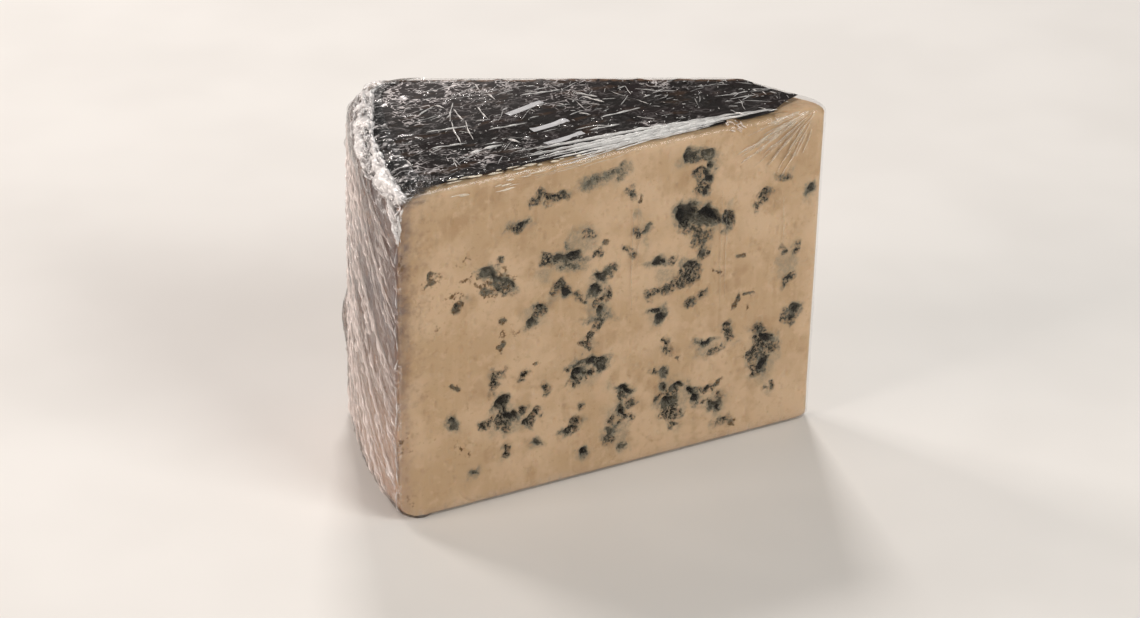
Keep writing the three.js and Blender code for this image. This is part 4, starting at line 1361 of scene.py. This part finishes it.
@dataclass
class Film:
    """The cling film round the whole wedge, with its creases, its pleats and its gathered edge.

    Attributes:
        wedge: The form.
        grow: How far off the bare cheese it lies.
        seed: Chooses where its folds fall.
    """

    wedge: Wedge
    grow: float = 1.6
    seed: int = 23

    # The rows of the skin over the cuts and of the rind's, at the foot, up the walls and over the shoulder,
    # and how many of the rind's, from the top, the gathered band lies on.
    WRAP_ROWS, RIND_ROWS, SHOULDER_ROWS = (4, 92, 12), (8, 180, 40), 44
    # How steeply the creases run down the rind, in degrees.
    SLOPE = 38.0
    # The loose flap's middle on the rind, its two half widths and how far it stands off.
    FLAP, FLAP_SIZE, FLAP_LIFT = (15.0, 70.0), (3.0, 7.5), 2.2
    # Shares of the way along the gathered band, how far away its middle is there, and half its width.
    BAND = (0.0, 0.2, 0.55, 0.85, 1.0)
    BAND_AWAY = (2.8, 3.9, 6.7, 7.6, 7.6)
    BAND_HALF = (1.2, 1.7, 2.4, 1.9, 1.0)
    # How far the knot reaches over each side of its corner, and its points along a side.
    KNOT, KNOT_STEPS = 6.4, 46
    # Where the pleats on the front edge come together, along that edge.
    PUCKER = 93.0
    # How many strands of each kind there are.
    HEMS, LOOSE, RUNNING_DOWN, ON_CORNER, ALONG_CORNER = 7, 46, 11, 30, 10
    SLANTS, PUCKERS, PLEATS, EDGE_PLEATS, STROKES, FAN_FOLDS = 200, 16, 30, 24, 420, 18
    BEADS, LONG_CREASES, SHORT_CREASES = 16, 7, 11
    # How far along the front its upright folds are.
    UPRIGHT_FOLDS = (64.5, 66.0, 90.5, 92.0, 109.0)
    # The colours of milky film, which also paint highlights on its creases and folds, and DARK, that of the
    # crushed foil in the knot.
    SILVER, PEARL = (0.95, 0.93, 0.91), (0.95, 0.92, 0.91)
    ROSY, LILAC = (0.97, 0.88, 0.84), (0.90, 0.83, 0.82)
    WARM, DARK = (0.96, 0.86, 0.70), (0.045, 0.038, 0.036)

    noise: Noise = field(init=False)
    random: np.random.Generator = field(init=False)
    top: Panel = field(init=False)
    rind: Panel = field(init=False)
    front: Panel = field(init=False)

    def __post_init__(self) -> None:
        """Lays out the panels that the folds lie on."""
        w = self.wedge
        self.noise = Noise(self.seed)
        self.random = np.random.default_rng(self.seed)
        steps = Steps(front=330, nose=190, back=330, rind=190, corner=8, broad=8)
        ring = w.walls(np.array([w.height + self.grow]), self.grow, self.grow, steps)[0]
        self.top = Panel(span(ring, steps))
        steps = Steps(front=90, nose=4, back=4, rind=150, corner=12, broad=26)
        ups = w.heights(self.grow, *self.RIND_ROWS)[::-1]
        walls = w.walls(ups, self.grow, self.grow, steps)
        first = walls.shape[1] - steps.broad - steps.rind - steps.corner
        closed = np.concatenate([walls[:, first:], walls[:, :1]], axis=1)
        self.rind = Panel(closed, -1.0)
        edge = steps.corner // 2
        turned = np.concatenate([walls[:, -edge:], walls[:, : steps.front + edge]], axis=1)
        self.front = Panel(turned, -1.0)

    def _draw(self, *ranges: Place) -> Array:
        """Returns a random number from each range."""
        return self.random.uniform(*zip(*ranges))

    def _piece(self, sheet: Sheet, name: str, finish: FilmFinish) -> bpy.types.Object:
        """Makes one piece of the film."""
        piece = sheet.make(name, finish.material())
        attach(piece, "root")
        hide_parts("film")
        return piece

    def _wrap(self) -> bpy.types.Object:
        """Builds the clear skin over the cuts, and under the base."""
        w = self.wedge
        steps = Steps(front=180, nose=80, back=180, rind=80, corner=8, broad=8)
        walls = w.walls(w.heights(self.grow, *self.WRAP_ROWS), self.grow, self.grow, steps)
        base = span(walls[0], steps)
        out = surface_normals(walls, closed=True)
        x, y, z = np.moveaxis(walls, -1, 0)
        slanted = np.stack([x + 0.5 * z, y, z * 0.08], axis=-1)
        crest = smooth(0.5, 0.95, self.noise.ridges(slanted, 5.0, 3))
        behind = 1.0 - smooth(-14.0, -3.0, w.front.off(walls))
        ends = smooth(0.0, 6.0, z) * smooth(w.height + self.grow, w.height - 4.0, z)
        lift = (0.1 + 0.9 * behind) * crest * ends
        foot = smooth(5.0, 0.0, z + 2.0 * self.noise.fractal(walls, 9.0, 2))
        # Milky white on the lifted creases behind the front cut, partly painted highlight, and milkiness at
        # the foot.
        haze = 0.05 * behind + 0.5 * lift * behind + 0.25 * foot
        moved = walls + out * lift[..., None]
        moved[..., 2] = np.maximum(moved[..., 2], 0.05)
        rolled = [np.roll(values, steps.corner, axis=1)[:, : 1 - steps.rind] for values in (moved, haze)]
        sheet = Sheet().grid(rolled[0], haze=rolled[1])
        sheet.grid(base + 0.05 * UPWARD, flip=True, haze=0.0)
        finish = FilmFinish(
            "film_clear", shine=0.5, turn=(0, 0, 13), stretch=(1.0, 1.0, 0.1), crinkle=0.05, most=0.2
        )
        return self._piece(sheet, "film_wrap", finish)

    def _over_rind(self) -> bpy.types.Object:
        """Builds the skin over the rind, milky and drawn into long slanting creases, with a loose flap; the
        white on the creases' crests is partly painted highlight.
        """
        along, away = self.rind.places()
        slope = math.radians(self.SLOPE)
        points = np.stack([along, away, np.zeros(along.shape)], axis=-1)
        bend = 6.0 * (self.noise.fractal(points, 24.0, 2) - 0.5)
        drawn = along * math.cos(slope) + away * math.sin(slope)
        aside = away * math.cos(slope) - along * math.sin(slope) + bend
        crease = self.noise.ridges(np.stack([drawn * 0.06, aside, points[..., 2]], axis=-1), 2.6, 4)
        shown = smooth(0.4, 0.62, self.noise.fractal(points + 210.0, 11.0, 3))
        crest = smooth(0.72, 0.93, crease) * (0.15 + 0.85 * shown)
        inner = smooth(0.0, 3.0, along) * smooth(0.0, 2.5, self.rind.along[-1] - along)
        inner = inner * smooth(0.0, 3.0, away) * smooth(0.0, 5.0, self.rind.depth - away)
        off = [(place - at) / size for place, at, size in zip((along, away), self.FLAP, self.FLAP_SIZE)]
        flap = self.FLAP_LIFT * np.exp(-(off[0] ** 2) - off[1] ** 2)
        lift = (0.45 * smooth(0.5, 0.95, crease) * (0.35 + 0.65 * shown) + flap) * inner + 0.12
        # White on the creases' crests, partly painted highlight, and a little milkiness low on the rind.
        haze = 0.06 * smooth(45.0, 75.0, away) + 0.52 * crest
        grid = self.rind.grid + self.rind.normal * lift[..., None]
        grid[..., 2] = np.maximum(grid[..., 2], 0.05)
        sheet = Sheet().grid(grid, flip=True, haze=haze, wispy=0.28)
        finish = FilmFinish(
            "film_milky_glints",
            milk_and_glint=self.ROSY,
            shine=1.1,
            turn=(-self.SLOPE, 0, 0),
            stretch=(1.0, 0.1, 1.0),
            fine=0.9,
            streaks=0.8,
            curl=(1.0, 0.1, 1.0),
        )
        return self._piece(sheet, "film_rind", finish)

    def _over_top(self) -> bpy.types.Object:
        """Builds the skin over the label, finely crinkled and milkier toward the rind's far end, with white
        on its crests that is partly painted highlight.
        """
        along, away = self.top.places()
        points = self.top.grid
        inner = np.ones(along.shape)
        inner[[0, -1], :] = 0.0
        inner[:, [0, -1]] = 0.0
        crease = self.noise.ridges(points * np.array([0.45, 1.0, 1.0]), 3.2, 4)
        broken = smooth(0.45, 0.62, self.noise.fractal(points + 300.0, 4.0, 3))
        crest = smooth(0.6, 0.9, crease) * broken
        far = away / self.top.depth
        corner = smooth(0.3, 1.0, far) * smooth(75.0, 5.0, along)
        patches = smooth(0.46, 0.64, self.noise.fractal(points + 150.0, 13.0, 3))
        # White on the crests, partly painted highlight, more toward the rind's far end.
        haze = 0.10 * corner + (0.06 + 0.3 * corner) * crest
        wispy = 0.08 + 0.5 * patches + 0.4 * corner
        lift = (0.4 * crest + 0.15 * self.noise.fractal(points + 500.0, 3.0, 2)) * inner
        sheet = Sheet().grid(points + self.top.normal * lift[..., None], haze=haze, wispy=wispy)
        finish = FilmFinish(
            "film_crinkled",
            milk_and_glint=self.LILAC,
            shine=0.28,
            stretch=(0.3, 1.0, 1.0),
            crinkle=0.05,
            swell=0.1,
            fine=0.8,
        )
        return self._piece(sheet, "film_top", finish)

    def _band(self, along: Array) -> tuple[Array, Array]:
        """Returns how far away the middle of the gathered band is, and half its width."""
        share = np.asarray(along) / self.rind.along[-1]
        return np.interp(share, self.BAND, self.BAND_AWAY), np.interp(share, self.BAND, self.BAND_HALF)

    def _bunch(self) -> bpy.types.Object:
        """Builds the crumpled band gathered along the rind's shoulder, with strands over it."""
        along, away = (values[: self.SHOULDER_ROWS] for values in self.rind.places())
        grid, normal = (values[: self.SHOULDER_ROWS] for values in (self.rind.grid, self.rind.normal))
        bend = 3.0 * (self.noise.fractal(grid + 20.0, 6.0, 2) - 0.5)
        drawn = np.stack([0.28 * along, away + bend, 0.0 * along], axis=-1)
        crumple = self.noise.ridges(drawn + 60.0, 2.2, 4)
        middle, half = self._band(along)
        ragged = 2.0 * (self.noise.fractal(grid + 20.0, 2.4, 3) - 0.5)
        off = np.abs(away + ragged - middle) / half
        band = smooth(1.25, 0.8, off) * smooth(5.0, 12.0, along)
        band = band * smooth(0.4, 2.0, self.rind.along[-1] - along)
        hollow = smooth(0.5, 0.3, crumple)
        # The band's silvery white is partly painted highlight.
        haze = band * (1.0 - 0.95 * hollow) * (0.55 + 0.45 * smooth(0.3, 0.7, crumple))
        lift = 0.2 + band * (0.2 + 1.0 * smooth(0.15, 0.8, crumple))
        sheet = Sheet().grid(grid + normal * lift[..., None], flip=True, haze=haze, wispy=0.6)
        for strand in self._gathered():
            strand.add_to(sheet, self.rind)
        finish = FilmFinish(
            "film_gathered",
            milk_and_glint=self.PEARL,
            streaks=0.3,
            turn=(0, 0, 0),
            stretch=(1.0, 0.3, 1.0),
            fine=0.9,
            roughness=0.2,
        )
        return self._piece(sheet, "film_bunch", finish)

    def _gathered(self) -> Iterator[Strand]:
        """Yields the strands along the gathered band, and those that run down from it to the front edge."""
        end = float(self.rind.along[-1])

        def beside(along: float, aside: float) -> Place:
            middle, half = self._band(along)
            return along, float(middle + aside * half)

        for i in range(self.HEMS):
            along = end * (0.16 + 0.12 * i)
            stop = min(along + 0.15 * end, end - 0.8)
            places = beside(along, -1.05), beside(stop, -1.05)
            yield Strand(*places, 1.1, 0.9, 1.0, 0.3, 0.37 * i % 1.0)
        for _ in range(self.LOOSE):
            along = self.random.uniform(8.0, end - 6.0)
            stop = min(along + self.random.uniform(5.0, 20.0), end - 1.0)
            aside, drift = self._draw((-1.1, 1.5), (-0.4, 0.4))
            width, height, haze = self._draw((0.2, 0.55), (0.6, 1.2), (0.6, 1.0))
            phase = self.random.random()
            places = beside(along, aside), beside(stop, aside + drift)
            yield Strand(*places, width, height, haze, 0.3, phase)
        for i in range(self.RUNNING_DOWN):
            start = (end - 11.0 + 0.8 * i, 7.5 + 0.35 * i + self.random.uniform(-0.6, 0.6))
            stop = (end - 0.8 - 0.2 * (i % 3), 11.5 + 0.6 * i + self.random.uniform(-0.8, 0.8))
            width, height = self._draw((0.3, 0.9), (0.4, 0.9))
            yield Strand(start, stop, width, height, 0.95, 0.3, self.random.random())
        for _ in range(self.ON_CORNER):
            start, away = self._draw((end - 1.8, end - 0.4), (9.0, 17.0))
            turn, length = self._draw((1.0, 1.9), (1.2, 4.0))
            stop = (min(start + length * math.cos(turn), end - 0.2), away + length * math.sin(turn))
            width, height, haze = self._draw((0.25, 0.7), (0.3, 0.9), (0.6, 1.0))
            yield Strand((start, away), stop, width, height, haze, 0.3, self.random.random())
        for i in range(self.ALONG_CORNER):
            start = 19.0 + 7.4 * i + self.random.uniform(-3.0, 3.0)
            length, aside, phase = self._draw((3.0, 9.0), (-0.5, 0.5), (0.0, 1.0))
            places = (end - 1.3 + aside, start), (end - 1.3 - aside, start + length)
            yield Strand(*places, 0.4, 0.35, 0.7, 0.2, phase)

    def _knot(self) -> bpy.types.Object:
        """Builds the dark lump of foil and film crushed together over the rind's near corner."""
        share = np.linspace(0.0, 1.0, self.KNOT_STEPS)
        along = self.KNOT * np.broadcast_to(share, (self.KNOT_STEPS,) * 2)
        away = self.KNOT * np.broadcast_to(share[:, None], (self.KNOT_STEPS,) * 2)
        end = self.rind.along[-1]
        sheet = Sheet()
        sides = (
            (self.top, along, away, along, -away, False),
            (self.front, along, away, along, away, True),
            (self.rind, end - self.KNOT + along, away, along - self.KNOT, away, True),
        )
        for panel, column, row, right, down, flip in sides:
            points, normal = panel.at(column, row)
            dome = smooth(1.0, 0.35, np.hypot((right - 1.3) / 4.4, (down - 0.4) / 4.6))
            fold = self.noise.ridges(points + 700.0, 2.6, 4)
            lift = dome * (0.5 + 1.6 * smooth(0.15, 0.85, fold)) - 0.15
            haze = dome * (1.0 - 0.4 * smooth(0.35, 0.2, fold))
            sheet.grid(points + normal * lift[..., None], flip=flip, haze=haze, wispy=0.8 * dome)
        finish = FilmFinish(
            "film_dark", milk_and_glint=self.DARK, streaks=0.2, crinkle=0.3, fine=0.9, roughness=0.2
        )
        return self._piece(sheet, "film_knot", finish)

    def _slanting(self) -> Iterator[Strand]:
        """Yields the thin bright creases that slant down the rind toward the front cut."""
        end = float(self.rind.along[-1])
        for i in range(self.SLANTS):
            start = self.random.uniform(4.0, end - 5.0)
            away = self.random.uniform(7.0, 86.0)
            turn = math.radians(self.random.normal(self.SLOPE, 8.0))
            length = 3.0 + 32.0 * self.random.random() ** 2.2
            length = min(length, (end - 2.0 - start) / math.cos(turn), (98.0 - away) / math.sin(turn))
            if length < 2.5:
                continue
            stop = (start + length * math.cos(turn), away + length * math.sin(turn))
            width, height, haze = self._draw((0.14, 0.36), (0.3, 0.7), (0.65, 1.0))
            bold = 1.9 if i % 9 == 0 else 1.0
            phase = self.random.random()
            yield Strand((start, away), stop, bold * width, height, haze, 0.02 * length, phase)

    def _spot(self, along: float, behind: float) -> Place:
        """Returns the place on the top panel nearest to one along and behind the front cut."""
        cut = self.wedge.front
        plan = cut.start + along * cut.run - behind * cut.out
        gap = np.linalg.norm(self.top.grid[..., :2] - plan, axis=-1)
        row, column = np.unravel_index(np.argmin(gap), gap.shape)
        return float(self.top.along[column]), float(self.top.share[row] * self.top.depth[column])

    def _pleats(self) -> Iterator[Strand]:
        """Yields the pleats on the top that fan out from a point on the front edge."""
        for _ in range(self.PLEATS):
            begin, share = self._draw((27.0, 68.0), (0.0, 1.0))
            stop = min(begin + self.random.uniform(12.0, 45.0), 91.5)
            away, end = (0.2 + 5.8 * share * (self.PUCKER - along) / 50.0 for along in (begin, stop))
            width, height, haze = self._draw((0.12, 0.36), (0.25, 0.55), (0.6, 1.0))
            yield Strand((begin, away), (stop, end), width, height, haze, 0.15, self.random.random())

    def _edge_pleats(self) -> Iterator[Strand]:
        """Yields the pleats that lie over the front edge's rounding."""
        for _ in range(self.EDGE_PLEATS):
            start = self.random.uniform(38.0, 78.0)
            stop = min(start + self.random.uniform(8.0, 26.0), self.PUCKER)
            away = 0.3 + 3.2 * self.random.random() * (self.PUCKER - start) / 50.0
            width, height, haze = self._draw((0.14, 0.38), (0.15, 0.4), (0.5, 1.0))
            places = (start, away), (stop, 0.6 * away)
            yield Strand(*places, width, height, haze, 0.12, self.random.random())

    def _bead(self) -> Iterator[Strand]:
        """Yields the broken bead along the rind's end of the front edge, and the short creases under it."""
        for i in range(self.BEADS):
            begin = 6.5 + 2.6 * i + self.random.uniform(-0.8, 0.8)
            stop = begin + self.random.uniform(1.5, 5.0)
            away, width, haze = self._draw((0.9, 2.2), (0.25, 0.6), (0.6, 1.0))
            yield Strand((begin, away), (stop, away), width, 0.25, haze, 0.15, self.random.random())
        for _ in range(self.LONG_CREASES):
            start = self.random.uniform(30.0, 50.0)
            away = self.random.uniform(3.0, 6.5)
            stop = (start + self.random.uniform(6.0, 20.0), 0.7 * away)
            width, haze, phase = self._draw((0.12, 0.26), (0.3, 0.6), (0.0, 1.0))
            yield Strand((start, away), stop, width, 0.1, haze, 0.3, phase)
        for _ in range(self.SHORT_CREASES):
            start = self.random.uniform(7.0, 34.0)
            away, drift, phase = self._draw((2.8, 7.0), (-0.3, 0.3), (0.0, 1.0))
            stop = (start + self.random.uniform(1.5, 6.0), away + drift)
            width, haze = self._draw((0.25, 0.55), (0.4, 0.9))
            yield Strand((start, away), stop, width, 0.12, haze, 0.35, phase)

    def _strokes(self) -> Iterator[Strand]:
        """Yields the creases that stand out on the top, and the short ones scattered over it."""
        for start, end, width in TOP_CREASES:
            places = self._spot(*start), self._spot(*end)
            yield Strand(*places, width, 0.3, 0.95, 0.25 * (width < 0.6), 0.3)
        for _ in range(self.STROKES):
            along = 104.0 * self.random.random() ** 1.2 + 1.0
            depth = float(np.interp(along, self.top.along, self.top.depth))
            away = depth * self.random.uniform(0.02, 0.97)
            length = 0.5 + 8.0 * self.random.random() ** 4
            turn = self.random.normal(0.05, 0.7)
            stop = (along + length * math.cos(turn), away + length * math.sin(turn))
            width, height, haze = self._draw((0.12, 0.26), (0.10, 0.2), (0.4, 1.0))
            phase = self.random.random()
            yield Strand((along, away), stop, width, height, haze, 0.1 * length * phase, phase)

    def _fan(self) -> Iterator[Strand]:
        """Yields the soft folds that fan out over the front from the tip, and the front's upright folds."""
        tip = float(self.front.along[-1]) - 3.0
        for i in range(self.FAN_FOLDS):
            turn = math.radians(4.0 + 3.8 * i + self.random.uniform(-3.0, 3.0))
            near, far = self._draw((1.0, 9.0), (12.0, 27.0))
            start = (tip - near * math.cos(turn), 2.0 + near * math.sin(turn))
            stop = (tip - far * math.cos(turn), 2.0 + far * math.sin(turn))
            width, haze = self._draw((0.3, 0.9), (0.15, 0.4))
            yield Strand(start, stop, width, 0.125, haze, 0.3, self.random.random())
        for along in self.UPRIGHT_FOLDS:
            away = self.random.uniform(12.0, 28.0)
            length, haze = self._draw((12.0, 36.0), (0.08, 0.2))
            yield Strand((along, away), (along + 0.6, away + length), 0.22, 0.1, haze, 0.2, 0.4)

    def _pucker(self) -> Iterator[Strand]:
        """Yields the small puckers where the pleats come together on the front edge."""
        for _ in range(self.PUCKERS):
            start, away = self._draw((91.5, 95.5), (0.6, 3.4))
            turn, length = self._draw((-1.2, 1.2), (0.8, 2.2))
            stop = (start + length * math.cos(turn), max(away + length * math.sin(turn), 0.2))
            yield Strand((start, away), stop, 0.35, 0.18, 0.5, 0.3, self.random.random())

    def make(self) -> list[bpy.types.Object]:
        """Builds every piece of the film."""
        made = [self._wrap(), self._over_rind(), self._over_top(), self._bunch(), self._knot()]
        fine = FilmFinish("film_creases", milk_and_glint=self.SILVER, streaks=0.2, stretch=(0.4, 1.0, 1.0))
        turn = (-self.SLOPE, 0, 0)
        rosy = FilmFinish("film_rosy", milk_and_glint=self.ROSY, streaks=0.2, turn=turn, stretch=(1.0, 0.4, 1.0))
        warm = FilmFinish("film_warm", milk_and_glint=self.WARM, streaks=0.2, stretch=(0.4, 1.0, 1.0))
        # The strands' milky white is partly painted highlight on the film's folds, pleats and creases.
        groups = (
            ("film_slants", rosy, [(self.rind, self._slanting()), (self.front, self._pucker())]),
            ("film_pleats", fine, [(self.top, self._pleats()), (self.front, self._edge_pleats())]),
            ("film_strokes", fine, [(self.top, self._strokes())]),
            ("film_fan", warm, [(self.front, self._fan()), (self.front, self._bead())]),
        )
        for name, finish, lots in groups:
            sheet = Sheet()
            for panel, strands in lots:
                for strand in strands:
                    strand.add_to(sheet, panel)
            made.append(self._piece(sheet, name, finish))
        return made


@dataclass(frozen=True)
class Lamp:
    """A rectangular light that faces the wedge.

    Attributes:
        name: Its name.
        place: Where it is, in metres.
        size: Its sides, in metres.
        power: Its power in watts.
        tint: Its colour.
    """

    name: str
    place: tuple[float, float, float]
    size: tuple[float, float]
    power: float
    tint: Colour

    # What it faces, in metres.
    TARGET = Vector((0.0, 0.0, 0.04))

    def make(self) -> None:
        """Makes the light."""
        light = bpy.data.lights.new(self.name, "AREA")
        light.shape = "RECTANGLE"
        light.size, light.size_y = self.size
        light.energy = self.power
        light.color = self.tint
        made = bpy.data.objects.new(self.name, light)
        made.location = self.place
        made.rotation_euler = (self.TARGET - Vector(self.place)).to_track_quat("-Z", "Y").to_euler()
        bpy.context.scene.collection.objects.link(made)


@dataclass
class Studio:
    """The floor, the soft lights and the camera at the photograph's viewing angle.

    Attributes:
        lamps: A soft key over the camera and one at the side, and two behind that make the film shine.
        camera_mm: Where the camera is, in millimetres.
        forward: Where it looks.
        roll: How far it is turned about that.
        lens: Its focal length in millimetres.
        floor_side: How far the floor reaches each way, in metres.
        ambient: How bright the surroundings are.
    """

    lamps: tuple[Lamp, ...] = (
        Lamp("key", (0.65, -1.0, 0.8), (0.7, 0.6), 11.6, (1.0, 1.0, 0.97)),
        Lamp("side", (-1.1, -0.25, 0.45), (0.5, 0.5), 7.6, (1.0, 0.89, 0.82)),
        Lamp("strip", (-0.7, 0.9, 0.7), (0.3, 0.9), 7.0, (1.0, 0.93, 0.88)),
        Lamp("spark", (0.2, 1.1, 1.2), (0.25, 0.25), 10.5, (1.0, 0.95, 0.92)),
    )
    camera_mm: tuple[float, float, float] = (-216.1, -685.54, 398.9)
    forward: tuple[float, float, float] = (0.2643, 0.8523, -0.4513)
    roll: float = math.radians(1.47)
    lens: float = 99.5
    floor_side: float = 6.0
    ambient: float = 0.12

    def make(self) -> None:
        """Builds all of it."""
        self._floor()
        self._lights()
        self._camera()

    def _floor(self) -> None:
        """Makes a plain pale floor."""
        n = Nodes("floor")
        tone = n.mix(n.spread(n.noise(60.0, 2.0), 0.3, 0.7), (0.78, 0.76, 0.73), (0.82, 0.80, 0.77))
        material = n.solid({"Base Color": tone, "Roughness": 0.7})
        mesh = bpy.data.meshes.new("floor")
        signs = ((-1, -1), (1, -1), (1, 1), (-1, 1))
        corners = [(x * self.floor_side, y * self.floor_side, 0) for x, y in signs]
        mesh.from_pydata(corners, [], [(0, 1, 2, 3)])
        mesh.materials.append(material)
        floor = bpy.data.objects.new("floor", mesh)
        bpy.context.scene.collection.objects.link(floor)
        floor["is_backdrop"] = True

    def _lights(self) -> None:
        """Makes the soft lights and the dim surroundings."""
        for lamp in self.lamps:
            lamp.make()
        world = bpy.data.worlds.new("studio")
        world.use_nodes = True
        background = world.node_tree.nodes["Background"]
        background.inputs["Color"].default_value = (0.95, 0.93, 0.92, 1.0)
        background.inputs["Strength"].default_value = self.ambient
        bpy.context.scene.world = world

    def _camera(self) -> None:
        """Makes the camera."""
        data = bpy.data.cameras.new("camera")
        data.lens = self.lens
        data.sensor_width = 36.0
        data.clip_start, data.clip_end = 0.01, 50.0
        camera = bpy.data.objects.new("camera", data)
        look = Vector(self.forward).to_track_quat("-Z", "Y").to_matrix()
        turned = (look @ Matrix.Rotation(self.roll, 3, "Z")).to_4x4()
        camera.matrix_world = Matrix.Translation(Vector(self.camera_mm) * MM) @ turned
        bpy.context.scene.collection.objects.link(camera)
        bpy.context.scene.camera = camera


def main() -> None:
    logging.basicConfig(level=logging.INFO, format="%(name)s: %(message)s")
    wedge = Wedge()
    bpy.context.scene.view_settings.view_transform = "Standard"
    made = [Paste(wedge).make(), *Label(wedge).make(), *Film(wedge).make()]
    Studio().make()
    for piece in made:
        LOG.info("%s: %d faces", piece.name, len(piece.data.polygons))
    boxes = {"cad": CAD_BOX, "visual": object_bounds()}
    {key: [list(corner) for corner in box] for key, box in boxes.items()}


if __name__ == "__main__":
    main()
